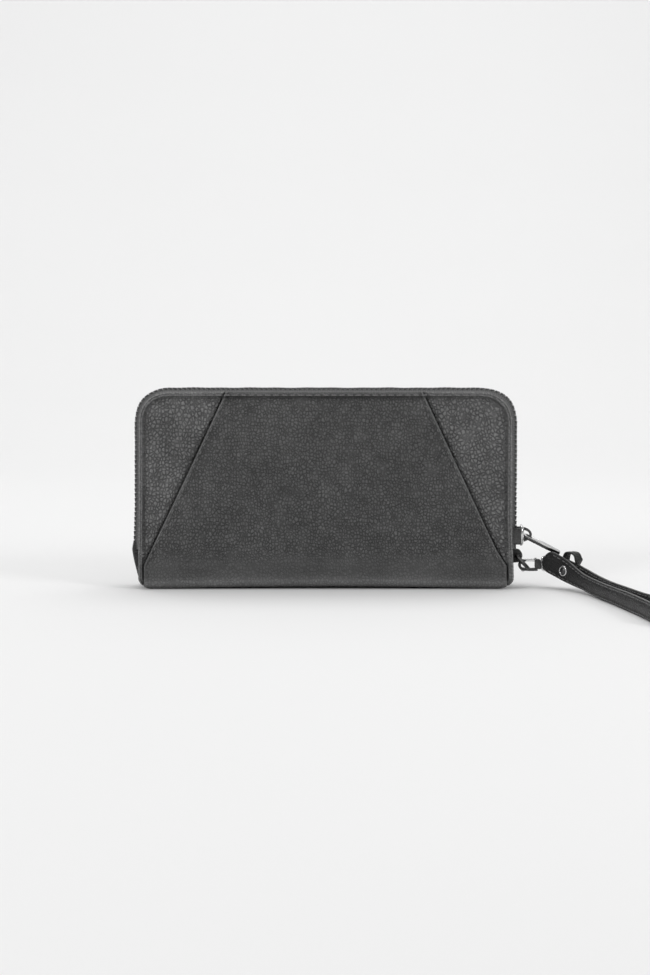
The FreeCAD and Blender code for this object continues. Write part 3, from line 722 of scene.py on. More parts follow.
def undulation(x, s, seed, size=26.0, amount=0.22):
    """Slow, shallow unevenness of soft leather over padding."""
    flat = [amount * (noise.noise(Vector((a / size, b / size, seed)))
                      + 0.45 * noise.noise(Vector((a / size * 2.3, b / size * 2.3, seed + 7))))
            for a, b in zip(np.ravel(x), np.ravel(s))]
    return np.reshape(flat, np.shape(x))


def warp(points):
    """The real outline: a base that lifts between its ends and flares, and squarer upper corners."""
    points = np.array(points, float)
    x, z = points[..., 0].copy(), points[..., 2].copy()
    right = x > 0
    lift = BASE_ARCH * np.clip(1 - ((x - 2) / 88.0) ** 2, 0, 1) * (1 - smooth_step(z, 2, 30))
    spread = BASE_FLARE[0] * (1 - smooth_step(z, 0, 78)) * smooth_step(-x, 45, 93)
    spread += (RIGHT_SPREAD + BASE_FLARE[1] * (1 - smooth_step(z, 0, 40))) * smooth_step(
        x, HALF_X - 8, HALF_X)
    across = np.maximum(np.abs(x) - (HALF_X - TOP_ROUND), 0)
    above = np.maximum(z - (TOP_Z - TOP_ROUND), 0)
    reach = np.hypot(across, above) + 1e-9
    push = np.where(right, CORNER_PUSH[1], CORNER_PUSH[0]) * (2 * across * above / reach ** 2) ** 2
    push = push * np.minimum(reach / TOP_ROUND, 1.2) ** 2
    points[..., 0] = x + np.sign(x) * (spread + push * across / reach)
    points[..., 2] = z + lift + push * above / reach
    return points


def section_rows(top_steps, below):
    """A half cover from its upper edge to the middle of the base: y, z, way out and length."""
    rows = []
    for z in top_steps:
        rows.append((HALF_Y, z, 1.0, 0.0, TOP_Z - z))
    run = TOP_Z - SPINE_ROUND
    for a in np.linspace(0, math.pi / 2, 26)[1:]:
        y = SPINE_FLAT + SPINE_ROUND * math.cos(a)
        z = SPINE_ROUND - SPINE_ROUND * math.sin(a)
        rows.append((y, z, math.cos(a), -math.sin(a), run + SPINE_ROUND * a))
    run += SPINE_ROUND * math.pi / 2
    if below:
        for y in np.linspace(SPINE_FLAT, 0, 8)[1:]:
            rows.append((y, 0.0, 0.0, -1.0, run + SPINE_FLAT - y))
    return np.array(rows)


def cover_steps():
    """Heights from the top edge down to the spine's curve."""
    corner = [TOP_Z - TOP_ROUND + TOP_ROUND * math.sin(a) for a in np.linspace(math.pi / 2, 0, 42)]
    plain = np.linspace(TOP_Z - TOP_ROUND, SPINE_ROUND, 58)[1:]
    return np.concatenate([corner, plain])


def wrap(side, rows, x, extra):
    """Outer and inner grids of a leather wrap. extra is the height above the plain surface."""
    y, z, ny, nz, s = (rows[:, i][:, None] * np.ones_like(x) for i in range(5))
    out = np.stack([np.zeros_like(x), side * ny, nz], -1)
    plain = np.stack([x, side * y, z], -1)
    outer = plain + out * extra[..., None]
    inner = plain - out * (LEATHER + np.maximum(-GROOVE_DEPTH - extra, 0))[..., None]
    uv = np.stack([x + 3.7 * side, s], -1)
    return warp(outer), warp(inner), uv


def cover_height(x, z, s, seed, t=None):
    """Height of a padded cover above its plain surface, fading to nothing round the spine."""
    t = rim_distance(x, z) if t is None else t
    rim = np.interp(t, RIM_AT, RIM_HIGH)
    padded = smooth_step(z, 3, 22)
    crown = np.where(rim > 0, rim * padded, rim)
    wave = undulation(x, s, seed) * smooth_step(t, 2, 12)
    dent = -0.22 * np.exp(-((z - 8.2) / 2.0) ** 2)
    return crown + wave * (0.35 + 0.65 * padded) + dent


def end_drop(x, edge):
    """The rounded cut edge at the ends of the spine."""
    return np.interp(edge - np.abs(x), [0, 0.12, 0.35, 0.8], [-0.55, -0.28, -0.08, 0.0])


def columns_of(half, fine=0.4, coarse=1.7, margin=7.0):
    return spread_steps(2 * half, fine, coarse, margin) / half - 1


def back_hide():
    """The back cover and the rear half of the spine, one piece of leather."""
    rows = section_rows(cover_steps(), True)
    share = columns_of(HALF_X)[None, :]
    x = outline_x(rows[:, 1])[:, None] * share
    z = rows[:, 1][:, None] * np.ones_like(x)
    s = rows[:, 4][:, None] * np.ones_like(x)
    t = np.where(z < 30, np.minimum(rim_distance(x, z), outline_x(z) - np.abs(x)), rim_distance(x, z))
    height = cover_height(x, z, s, 3.0, t)
    low = smooth_step(z, 8, 16)
    height = height * low + (1 - low) * (end_drop(x, outline_x(z)) + height * (t > 5))
    verts, faces, kinds, uv = skin(*wrap(1, rows, x, height))
    # The rim's painted shade on the edge and in the groove, and its painted highlight line, ride on the
    # tone.
    obj = add_mesh("back_leather", verts, faces, ["back", "edge"], uv, kinds,
                   pressed=1 - smooth_step(t, 2.4, 4.4), painted_light=np.interp(t, RIM_PAINTED_LIGHT_AT, RIM_PAINTED_LIGHT))
    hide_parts("back_panel", "spine_wrap")
    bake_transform(obj)


def follow_front(obj):
    """The front cover's leather, with its placement baked into the mesh."""
    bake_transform(obj)


def front_centre_hide():
    """The trapezoid between the slanting seams and the front half of the spine, one piece."""
    steps = np.concatenate([TOP_Z - np.arange(0, 6, 0.3), np.linspace(TOP_Z - 6, SPINE_ROUND, 66)])
    rows = section_rows(steps, True)
    z_rows = rows[:, 1]
    half = np.minimum(seam_x(z_rows) - SEAM_GAP / 2, outline_x(z_rows))
    share = columns_of(SEAM_LOW_X, 0.3, 1.6, 6.0)[None, :]
    x = half[:, None] * share
    z = z_rows[:, None] * np.ones_like(x)
    s = rows[:, 4][:, None] * np.ones_like(x)
    seam = (half[:, None] - np.abs(x)) * math.cos(SEAM_LEAN)
    height = cover_height(x, z, s, 11.0, TOP_Z - z)
    height += np.interp(seam, SEAM_AT, CENTRE_SEAM_HIGH) * (0.45 + 0.55 * smooth_step(z, 2, 16))
    verts, faces, kinds, uv = skin(*wrap(-1, rows, x, height))
    flat = np.maximum(1 - smooth_step(TOP_Z - z, 2.4, 4.4), 0.8 * (1 - smooth_step(seam, 1.2, 3.0)))
    flat = np.maximum(flat, 0.9 * (1 - smooth_step(z, 10, 27)))
    # Painted light on the tone: the rim's painted shade and highlight line, and a painted highlight along
    # the foot where the front curves under the spine.
    tint = np.interp(TOP_Z - z, RIM_PAINTED_LIGHT_AT, RIM_PAINTED_LIGHT) + 0.9 * np.exp(-((z - 2.8) / 2.0) ** 2)
    # Painted shade in a band low on the front, above the spine's curve.
    tint -= 0.22 * (1 - smooth_step(z, 12, 27)) * smooth_step(z, 3, 6)
    # Painted shade in the seam line and a painted highlight on the centre panel's lapped edge.
    tint += np.interp(seam, CENTRE_SEAM_PAINTED_LIGHT_AT, CENTRE_SEAM_PAINTED_LIGHT) * (0.3 + 0.7 * smooth_step(z, 8, 16))
    obj = add_mesh("front_centre_leather", verts, faces, ["centre", "edge"], uv, kinds, pressed=flat,
                   painted_light=np.clip(tint, *PAINTED_LIGHT_LIMITS))
    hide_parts("front_centre_panel", "spine_wrap")
    follow_front(obj)


def front_side_hide(side, node):
    """The corner panel outside a slanting seam, with a narrow tail down round the spine."""
    rows = section_rows(cover_steps(), False)
    rows = rows[rows[:, 1] > 0.95]
    z_rows = rows[:, 1]
    near = seam_x(z_rows) - SEAM_LAP
    far = outline_x(z_rows)
    share = (1 - np.cos(np.linspace(0, math.pi, 88)))[None, :] / 2
    x = near[:, None] + (far - near)[:, None] * share
    z = z_rows[:, None] * np.ones_like(x)
    s = rows[:, 4][:, None] * np.ones_like(x)
    t = np.minimum(rim_distance(x, z), far[:, None] - x)
    t = np.where(z < 40, far[:, None] - x, t)
    seam = (x - seam_x(z_rows)[:, None]) * math.cos(SEAM_LEAN)
    narrow = smooth_step(z, 9, 24)
    height = cover_height(x, z, s, 19.0 + side, t)
    height = np.where(t > 3, height * narrow, height)
    height += np.interp(seam, SEAM_AT, SIDE_SEAM_HIGH) * (0.22 + 0.48 * narrow)
    height -= LEATHER * smooth_step(-seam, -0.1, 0.35)
    outer, inner, uv = wrap(-1, rows, side * x, height)
    uv = uv @ np.array([[0.94, 0.34], [-0.34, 0.94]]) if side > 0 else uv
    verts, faces, kinds, uv = skin(outer, inner, uv)
    flat = np.maximum(1 - smooth_step(t, 2.4, 4.4), 1 - smooth_step(z, 10, 18))
    # Painted light on the tone: the rim's painted shade and highlight line, and painted shade beside the
    # seam where the panel runs under the centre one.
    tint = np.interp(t, RIM_PAINTED_LIGHT_AT, RIM_PAINTED_LIGHT) * (0.5 + 0.5 * narrow)
    tint += np.interp(seam, SIDE_SEAM_PAINTED_SHADE_AT, SIDE_SEAM_PAINTED_SHADE)
    obj = add_mesh(node.replace("panel", "leather"), verts, faces, ["side", "edge"], uv, kinds,
                   pressed=flat, painted_light=np.clip(tint, *PAINTED_LIGHT_LIMITS))
    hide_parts(node)
    follow_front(obj)


# The rim path: up the left side, round the two upper corners and down the right side

def rim_path(offset, left_low, right_low, step):
    """Points x, z, the way out and the length along the rim, at even steps."""
    r = TOP_ROUND + offset
    cx, cz = HALF_X - TOP_ROUND, TOP_Z - TOP_ROUND
    lengths = [cz - left_low, r * math.pi / 2, 2 * cx, r * math.pi / 2, cz - right_low]
    rows = []
    for s in np.arange(0, sum(lengths), step):
        left = s
        for stretch, length in enumerate(lengths):
            if left <= length or stretch == 4:
                break
            left -= length
        if stretch == 0:
            rows.append((-HALF_X - offset, left_low + left, math.pi, s))
        elif stretch == 1:
            a = math.pi - left / r
            rows.append((-cx + r * math.cos(a), cz + r * math.sin(a), a, s))
        elif stretch == 2:
            rows.append((-cx + left, cz + r, math.pi / 2, s))
        elif stretch == 3:
            a = math.pi / 2 - left / r
            rows.append((cx + r * math.cos(a), cz + r * math.sin(a), a, s))
        else:
            rows.append((HALF_X + offset, cz - left, 0.0, s))
    return rows


def zip_swell(x, z, s):
    """How far the zip bulges out past its plain path: more down the sides, a ripple on top."""
    ripple = 0.07 * math.sin(s / 5.1) + 0.08 * math.sin(s / 2.3 + 1)
    corner = TOP_Z - TOP_ROUND
    if z > corner:
        rise = (z - corner) / TOP_ROUND
        level = -0.5 * rise + (ZIP_BULGE if x > 0 else LEFT_BULGE) * (1 - rise)
        return level + ripple
    if x > 0:
        return ZIP_BULGE + 0.4 * ripple
    return LEFT_BULGE + 0.45 * float(1 - smooth_step(z, 20, 42)) + 0.4 * ripple


def edge_stitching(side, body, node):
    """The row of stitches just inside a cover's edge."""
    places = []
    for x, z, a, _ in rim_path(-EDGE_STITCH_INSET, HINGE_Z + 3, HINGE_Z + 3, STITCH_PITCH):
        y = side * (HALF_Y + 0.02)
        places.append((warp((x, y, z)), (-math.sin(a), 0, math.cos(a)), (0, side, 0)))
    obj = sew(Shapes(), places).make(node + "_thread", ["thread"])
    stand_in(obj, node, body)


def seam_stitching():
    """Stitches beside both slanting seams, with a bar tack at the foot of each."""
    places = []
    for side in (-1, 1):
        along = (-side * math.sin(SEAM_LEAN), 0, math.cos(SEAM_LEAN))
        for z in np.arange(HINGE_Z + 5, TOP_Z - 5, STITCH_PITCH * math.cos(SEAM_LEAN)):
            x = side * (float(seam_x(z)) - SEAM_STITCH_INSET / math.cos(SEAM_LEAN))
            bulge = float(np.interp(TOP_Z - z, RIM_AT, RIM_HIGH)) * float(smooth_step(z, 3, 22))
            places.append((warp((x, -HALF_Y - bulge + 0.72, z)), along, (0, -1, 0)))
        for k in range(4):
            z = HINGE_Z + 4.6 + 0.8 * k
            tack = (side * 0.92, 0, 0.38 if k % 2 else -0.38)
            places.append((warp((side * (HALF_X - 2.0), -HALF_Y - 0.02, z)), tack, (0, -1, 0)))
    obj = sew(Shapes(), places, 2.7, 0.48).make("front_seam_thread", ["thread"])
    stand_in(obj, "front_seam_stitching", "front_half")


# Main zip

TAPE_LOW = 20.2
TAPE_SECTION = [(-2.7, 11.15), (-1.7, 11.0), (-0.9, 10.5), (-0.5, 9.0), (-0.1, 7.0), (0.3, 5.0),
                (0.75, 3.6), (1.15, 2.7), (1.5, 1.9), (1.62, 1.35), (1.5, 0.95)]


def zip_tape(side, body, node):
    """One tape: sewn under the cover's edge, it curves out to the teeth."""
    outer, inner, uv = [], [], []
    for x, z, a, s in rim_path(0, TAPE_LOW, TAPE_LOW, 1.1):
        out = np.array([math.cos(a), 0, math.sin(a)])
        swell = zip_swell(x, z, s)
        line, below, flat = [], [], []
        for k, (d, y) in enumerate(TAPE_SECTION):
            share = 1 - (y / 11.2) ** 1.5
            d = d + swell * share
            thick = 0.42 if k < 7 else 0.9
            line.append(warp(np.array([x, side * y, z]) + out * d))
            below.append(warp(np.array([x, side * y, z]) + out * (d - thick)))
            flat.append((s, y))
        outer.append(line)
        inner.append(below)
        uv.append(flat)
    verts, faces, _, uv = skin(np.array(outer), np.array(inner), np.array(uv))
    obj = add_mesh(node + "_cloth", verts, faces, ["tape"], uv)
    stand_in(obj, node, body)


TOOTH_PITCH = 2.46
TOOTH_AT = 1.1                      # the teeth's path, outside the covers' edge


def tooth_shape():
    """One tooth, with X out of the wallet, Y towards its own tape and Z along the zip."""
    clamp, clamp_faces = rounded_box((-1.25, 0.95, -0.62), (0.95, 2.45, 0.62), 0.45, 0.2, 3)
    head, head_faces = rounded_box((-0.75, -0.6, -0.44), (1.0, 1.5, 0.44), 0.42, 0.16, 3)
    cap, cap_faces = rounded_box((0.55, -0.2, -0.5), (1.22, 2.1, 0.5), 0.25, 0.2, 3)
    return [(clamp, clamp_faces), (head, head_faces), (cap, cap_faces)]


def zip_teeth(side, body, node):
    """One row of teeth. The two rows are half a pitch apart, so they mesh."""
    shapes = Shapes()
    start = TOOTH_PITCH / 2 if side > 0 else 0.0
    templates = tooth_shape()
    for x, z, a, s in rim_path(TOOTH_AT, 21.4 + start, 24.6, TOOTH_PITCH):
        out = (math.cos(a), 0, math.sin(a))
        along = (-math.sin(a), 0, math.cos(a))
        point = warp(np.array([x, 0, z]) + np.array(out) * zip_swell(x, z, s + start))
        for verts, faces in templates:
            shapes.add(framed(verts, point, out, (0, side, 0), along), faces)
    obj = shapes.make(node + "_metal", ["teeth"], 40)
    stand_in(obj, node, body)


def end_tab(side, node):
    """The folded leather that closes an end of the zip: fullest near its top, tapering down."""
    low, high = place(node)
    shapes = Shapes()
    width = high[1] - 0.25
    foot, head = (3.2, 24.2) if side < 0 else (low[2] - 1.3, high[2] + 0.9)
    reach = HALF_X + 4.6 if side < 0 else high[0] + 1.8
    root = 91.2

    def ring(level):
        t, inset = level
        z = foot + t * (head - foot)
        full = float(np.interp(t, [0, 0.25, 0.5, 0.78, 1.0], [0.22, 0.5, 0.78, 1.0, 0.86]))
        full = full if side < 0 else 0.72 + 0.28 * math.sin(math.pi * t)
        tip = root + (reach - root) * (0.45 + 0.55 * full) - inset
        w = width * (0.66 + 0.34 * full) - inset
        points = []
        for k in range(13):
            a = math.radians(-90 + 180 * k / 12)
            points.append((side * (tip - 3.0 + 3.0 * max(math.cos(a), 0) ** 0.65), w * math.sin(a), z))
        points += [(side * (root - 0.3 + inset), w, z), (side * (root - 0.3 + inset), -w, z)]
        return points

    levels = [(0, 0.8), (0.02, 0.35), (0.07, 0.1)]
    levels += [(t, 0.0) for t in np.linspace(0.14, 0.88, 10)]
    levels += [(0.95, 0.1), (0.985, 0.35), (1, 0.8)]
    verts, faces = stacked(ring, levels)
    shapes.add(verts, faces, 0, verts[:, [1, 2]])
    places = []
    for z in np.linspace(low[2] + 0.8, high[2] - 0.8, 3):
        for edge in (-1, 1):
            places.append(((side * 92.6, edge * width * 0.98, z), (0, 0, 1), (0, edge, 0)))
    sew(shapes, places, 1.6, 0.4, 1)
    obj = shapes.make(node + "_leather", ["strap", "thread"])
    stand_in(obj, node, "back_half")


SLIDER_OUT = 1.8                    # the slider rides on the bulging zip


def slider_body():
    """Two domed plates joined by a post, with flanges that hold the rows of teeth together."""
    low, high = place("zip_slider_body")
    shapes = Shapes()
    face = high[0] + SLIDER_OUT
    root = low[0] + SLIDER_OUT
    w = high[1]
    centre = (low[2] + high[2]) / 2
    half = (high[2] - low[2]) / 2

    def plate(level):
        inset, x = level
        points = []
        for a in np.linspace(0, 2 * math.pi, 40, endpoint=False):
            c, s = math.cos(a), math.sin(a)
            y = (w - inset) * math.copysign(abs(c) ** 0.55, c) * (1.0 if s > 0 else 1 - 0.25 * s * s)
            z = centre + (half - inset) * math.copysign(abs(s) ** 0.7, s)
            points.append((x, y, z))
        return points

    levels = [(0.5, face - 1.45), (0.1, face - 1.35), (0.0, face - 1.1), (0.0, face - 0.55),
              (0.2, face - 0.15), (0.7, face + 0.15), (1.6, face + 0.45), (2.6, face + 0.6)]
    shapes.add(*stacked(plate, levels), 1)
    inner, faces = rounded_box((-half + 0.5, -w + 0.6, 0), (half - 0.5, w - 0.6, 1.3), 1.4, 0.3)
    shapes.add(framed(inner, (root, 0, centre), (0, 0, 1), (0, 1, 0), (1, 0, 0)), faces)
    post, faces = rounded_box((0, -0.7, 0), (1.8, 0.7, face - root - 1.5), 0.5, 0.1)
    shapes.add(framed(post, (root + 0.6, 0, low[2] + 0.5), (0, 0, 1), (0, 1, 0), (1, 0, 0)), faces)
    for side in (-1, 1):
        flange, faces = rounded_box((-half + 1.4, min(side * (w - 1.1), side * w), 0),
                                    (half - 1.4, max(side * (w - 1.1), side * w), face - 97.7), 0.4, 0.2)
        shapes.add(framed(flange, (96.7, 0, centre), (0, 0, 1), (0, 1, 0), (1, 0, 0)), faces)
    obj = shapes.make("slider_metal", ["dark", "bright"], 38)
    stand_in(obj, "zip_slider_body", "zip_slider")


BRIDGE_REACH, BRIDGE_RISE = 5.3, 3.2
BRIDGE_DROP = 0.8
BRIDGE_WIRE = 0.72


def slider_bridge():
    """The wire arch that the puller's eye slides along, thicker at its feet."""
    centre = pivot("puller_swing")
    points = []
    for a in np.radians(np.linspace(-97, 97, 41)):
        points.append((centre[0] + BRIDGE_REACH * math.cos(a), 0,
                       centre[2] - BRIDGE_DROP + BRIDGE_RISE * math.sin(a)))
    sizes = [1 + 0.45 * abs(k - 20) ** 3 / 20 ** 3 for k in range(41)]
    verts, faces = swept(points, oblong(BRIDGE_WIRE * 1.25, BRIDGE_WIRE * 0.9, 0.4, 3), scale=sizes)
    obj = Shapes().add(verts, faces).make("slider_arch", ["dark"])
    stand_in(obj, "zip_slider_bridge", "zip_slider")


PULLER_DROP = 26.6                  # degrees below level
PULLER_WAIST = 0.8                  # its narrowest width beside its full one
PULLER_ROLL = 15.0                  # it hangs with its face turned a little to the front


def framed_plate(outer, hole, thick, edge):
    """A plate with a hole: matching rings of (x, y) points, with softened edges, as closed rings."""
    outer, hole = np.asarray(outer, float), np.asarray(hole, float)
    count = len(outer)
    centre = hole.mean(0)

    def inward(ring, amount):
        away = ring - centre
        return ring - away / np.linalg.norm(away, axis=1)[:, None] * amount

    h = thick / 2
    loops = [(inward(outer, edge), -h), (outer, -h + edge), (outer, h - edge), (inward(outer, edge), h),
             (inward(hole, -edge), h), (hole, h - edge), (hole, -h + edge), (inward(hole, -edge), -h)]
    verts = np.concatenate([np.column_stack([ring, np.full(count, z)]) for ring, z in loops])
    faces = []
    for k in range(len(loops)):
        a, b = k * count, ((k + 1) % len(loops)) * count
        faces += [[a + c, a + (c + 1) % count, b + (c + 1) % count, b + c] for c in range(count)]
    return verts, faces


def eye_and_tongue(length, tail, half_width, thick, hole_length, hole_half_width):
    """A zip pull along +X: a rounded eye round the origin, a waist and a flat tongue."""
    outer, hole = [], []
    for a in np.linspace(0, 2 * math.pi, 48, endpoint=False):
        c, s = math.cos(a), math.sin(a)
        reach = length if c > 0 else tail
        x = reach * math.copysign(abs(c) ** 0.8, c)
        pinch = 1 - (1 - PULLER_WAIST) * math.exp(-((x - length * 0.28) / (length * 0.09)) ** 2)
        y = half_width * pinch * math.copysign(min(1.0, abs(s) ** 0.38), s)
        outer.append((x, y))
        hole.append((hole_length / 2 * math.copysign(abs(c) ** 0.6, c),
                     hole_half_width * math.copysign(abs(s) ** 0.6, s)))
    return framed_plate(outer, hole, thick, min(0.28, thick * 0.32))


def zip_puller():
    """A flat tongue whose upper faces take the bright metal and the rest the dark: a painted reflection of
    the lamps on top and painted shade underneath.
    """
    centre = pivot("puller_swing")
    eye = (centre[0] + 4.3, 0, centre[2] - 2.5)
    verts, faces = eye_and_tongue(length=18.2, tail=2.9, half_width=2.1, thick=1.8,
                                  hole_length=3.5, hole_half_width=1.05)
    verts = turned(turned(verts, (1, 0, 0), PULLER_ROLL), (0, 1, 0), PULLER_DROP) + np.array(eye)
    shapes = Shapes().add(verts, faces)
    count = len(faces) // 8
    # Painted highlight: the upper faces are bright metal, the sides and underside dark.
    shapes.kinds = [0 if loop in (2, 3, 4) else 1 for loop in range(8) for _ in range(count)]
    obj = shapes.make("puller_metal_painted_highlight", ["bright", "dark"], 50)
    stand_in(obj, "zip_puller", "puller")


# D-ring and clasp

def d_ring():
    """A wire D whose straight bar runs through the end tab."""
    bar = pivot("ring_swing")
    tip = pivot("clasp_tilt")
    reach = math.hypot(tip[0] - bar[0], tip[2] - bar[2]) + 1.6
    r = 5.0
    bend = 0.8
    arm = reach - r
    local = [(0, y, 0) for y in np.linspace(r - bend, -r + bend, 9)]
    local += [(bend - bend * math.cos(a), -r + bend - bend * math.sin(a), 0)
              for a in np.radians([30, 60, 90])]
    local += [(x, -r, 0) for x in np.linspace(0.9, arm, 3)]
    local += [(arm + r * math.sin(a), -r * math.cos(a), 0) for a in np.radians(np.arange(8, 180, 8))]
    local += [(x, r, 0) for x in np.linspace(arm, 0.9, 3)]
    local += [(bend - bend * math.cos(a), r - bend + bend * math.sin(a), 0)
              for a in np.radians([90, 60, 30])]
    lean = math.degrees(math.atan2(bar[2] - tip[2], tip[0] - bar[0]))
    points = turned(np.array(local), (0, 1, 0), lean) + np.array([bar[0], 0, bar[2]])
    verts, faces = swept(points, circle(0.92), closed=True)
    obj = Shapes().add(verts, faces).make("ring_wire", ["dark"])
    stand_in(obj, "d_ring", "ring")


HOOK_ROUND = 2.3
BLOCK_X, BLOCK_Z = 109.2, 9.4       # the lower left corner of the block behind the gate
BLOCK_LONG, BLOCK_TALL, CHEEK_THICK = 3.3, 5.0, 0.8


def turned_ring(x, radius, length, height):
    """A short drum along X at a height, with softened ends."""
    def ring(level):
        return [(level[0], radius * level[1] * math.cos(a), height + radius * level[1] * math.sin(a))
                for a in np.linspace(0, 2 * math.pi, 20, endpoint=False)]

    return stacked(ring, [(x, 0.86), (x + 0.15, 1.0), (x + length - 0.15, 1.0), (x + length, 0.86)])


def clasp():
    """The hook, its slim back and the block that holds the gate and the swivel."""
    swivel = pivot("eye_swivel")[2]
    hook = (pivot("clasp_tilt")[0] - 1.0, pivot("clasp_tilt")[2] + 0.5)
    shapes = Shapes()
    points = [(hook[0] + 0.9, 0, hook[1] + HOOK_ROUND)]
    points += [(hook[0] + HOOK_ROUND * math.sin(a), 0, hook[1] + HOOK_ROUND * math.cos(a))
               for a in np.radians(np.linspace(0, -180, 17))]
    points += [(x, 0, hook[1] - HOOK_ROUND - 0.12 * math.sin((x - hook[0]) / 6 * math.pi))
               for x in np.linspace(hook[0] + 0.8, BLOCK_X + 1.4, 9)]
    sizes = [0.75, 0.85] + [1.0] * 16 + list(np.linspace(1.0, 1.15, 9))
    section = [(b, a) for a, b in oblong(1.35, 0.72, 0.55)]
    verts, faces = swept(points, section, up=(0, 1, 0.0001), scale=sizes)
    shapes.add(verts, faces)
    ball, faces = dome(1.2, 1.2, 16, 7, 0.0)
    for flip in (1, -1):
        shapes.add(framed(ball, (hook[0] - 0.4, 0, hook[1] - 2.4), (1, 0, 0), (0, flip, 0),
                          (0, 0, flip)), faces, 1)
    for y in (-1.1 - CHEEK_THICK, 1.1):
        verts, faces = rounded_box((0, 0, 0), (BLOCK_LONG, BLOCK_TALL, CHEEK_THICK), 1.3, 0.25)
        shapes.add(framed(verts, (BLOCK_X, y, BLOCK_Z), (1, 0, 0), (0, 0, 1), (0, 1, 0)), faces)
    shapes.add(*rounded_box((BLOCK_X + 0.2, -1.2, BLOCK_Z - 0.1), (BLOCK_X + 3.2, 1.2, BLOCK_Z + 2.9),
                            0.5, 0.25))
    for x, radius, length in ((BLOCK_X + 2.8, 1.75, 0.7), (BLOCK_X + 3.4, 1.45, 0.4)):
        shapes.add(*turned_ring(x, radius, length, swivel), 1)
    obj = shapes.make("clasp_metal", ["dark", "bright"], 45)
    stand_in(obj, "clasp_body", "clasp")


def clasp_gate():
    """The flat sprung bar that closes the hook's mouth, and the pin that it turns on."""
    low, high = place("clasp_gate")
    pin = pivot("gate_press")
    length = high[0] - low[0]
    verts, faces = rounded_box((low[0], -0.95, pin[2] - 0.65), (high[0], 0.95, pin[2] + 0.65),
                               0.5, 0.28)
    verts[:, 2] = pin[2] + (verts[:, 2] - pin[2]) * (0.8 + 0.35 * (verts[:, 0] - low[0]) / length)
    shapes = Shapes().add(verts, faces)
    coil = [(pin[0] + math.cos(a), 0, pin[2] + math.sin(a)) for a in np.linspace(0, 2 * math.pi, 16)]
    verts, faces = swept(coil, circle(0.2, 8))
    for y in (-0.7, 0.7):
        shapes.add(verts + np.array([0, y, 0]), faces)
    obj = shapes.make("gate_metal", ["bright"], 45)
    stand_in(obj, "clasp_gate", "gate")
    head, faces = dome(0.62, 0.3, 14, 5, 0.3)
    reach = 1.1 + CHEEK_THICK
    heads = Shapes()
    for side in (-1, 1):
        spot = (pin[0], side * reach, pin[2])
        heads.add(framed(head, spot, (1, 0, 0), (0, 0, side), (0, side, 0)), faces)
    heads.add(*swept([(pin[0], y, pin[2]) for y in (-reach, 0, reach)], circle(0.4, 10)))
    obj = heads.make("gate_pin_metal", ["dark"], 45)
    stand_in(obj, "clasp_gate_pin", "clasp")


def swivel_eye():
    """The loop on the end of the clasp that turns about the clasp's length."""
    bar = pivot("strap_turn")
    z = pivot("eye_swivel")[2]
    shapes = Shapes()
    outline = [(113.0, 0.0), (113.0, 2.4), (113.4, 3.1), (114.1, 3.4), (115.0, 3.35), (bar[0], 3.3),
               (bar[0], 2.0), (bar[0], 0.0), (bar[0], -2.0), (bar[0], -3.3), (115.0, -3.35),
               (114.1, -3.4), (113.4, -3.1), (113.0, -2.4)]
    loop = [(x, 0, z + h) for x, h in outline]
    shapes.add(*swept(loop, circle(0.68, 12), closed=True))
    stem = swept([(x, 0, z) for x in (111.3, 112.0, 112.6, 113.1)], circle(0.95),
                 scale=[0.9, 1.0, 1.0, 0.8])
    shapes.add(*stem)
    obj = shapes.make("swivel_eye_metal", ["bright"])
    stand_in(obj, "clasp_swivel_eye", "eye")


# Wrist strap

def strap_line():
    """The strap's centre line, read from a NURBS curve through its route."""
    data = bpy.data.curves.new("strap_route", "CURVE")
    data.dimensions = "3D"
    data.resolution_u = 14
    spline = data.splines.new("NURBS")
    spline.points.add(len(STRAP_ROUTE) - 1)
    for point, spot in zip(spline.points, STRAP_ROUTE):
        point.co = (*spot, 1.0)
    spline.order_u = 3
    spline.use_endpoint_u = True
    curve = bpy.data.objects.new("strap_route", data)
    bpy.context.scene.collection.objects.link(curve)
    bpy.context.view_layer.update()
    flat = bpy.data.meshes.new_from_object(curve)
    points = np.array([v.co[:] for v in flat.vertices])
    bpy.data.objects.remove(curve)
    bpy.data.curves.remove(data)
    bpy.data.meshes.remove(flat)
    return points / MM


def strap_frames(points):
    """At each point of the strap: way along, way out of its flat face and way across its width."""
    ways = np.gradient(points, axis=0)
    ways /= np.linalg.norm(ways, axis=1)[:, None]
    across = np.array([0, 0, 1.0]) - ways * ways[:, 2:3]
    across /= np.linalg.norm(across, axis=1)[:, None]
    return ways, np.cross(ways, across), across


def strap_section(half_width, half_thick):
    """A folded and padded strap: stitched edges, a groove inside them and a crowned middle."""
    shares = [(-1.0, 0.30), (-0.97, 0.62), (-0.88, 0.80), (-0.76, 0.76), (-0.66, 0.66), (-0.58, 0.78),
              (-0.46, 1.05), (-0.25, 1.24), (0.0, 1.3), (0.25, 1.24), (0.46, 1.05), (0.58, 0.78),
              (0.66, 0.66), (0.76, 0.76), (0.88, 0.80), (0.97, 0.62), (1.0, 0.30)]
    face = [(half_thick * t, half_width * w) for w, t in shares]
    return face + [(-a, b) for a, b in reversed(face)]


def strap_width(s, total):
    """The strap is widest at its riveted tongue and narrowest just past it."""
    near = np.interp(s, [0, 4, 15, 32, 58, 110], [11.0, 11.4, 11.2, 8.3, 8.3, STRAP_WIDTH])
    far = np.interp(total - s, [0, 12, 30], [8.6, 8.6, STRAP_WIDTH])
    return float(min(near, far)) if s > 40 else float(near)


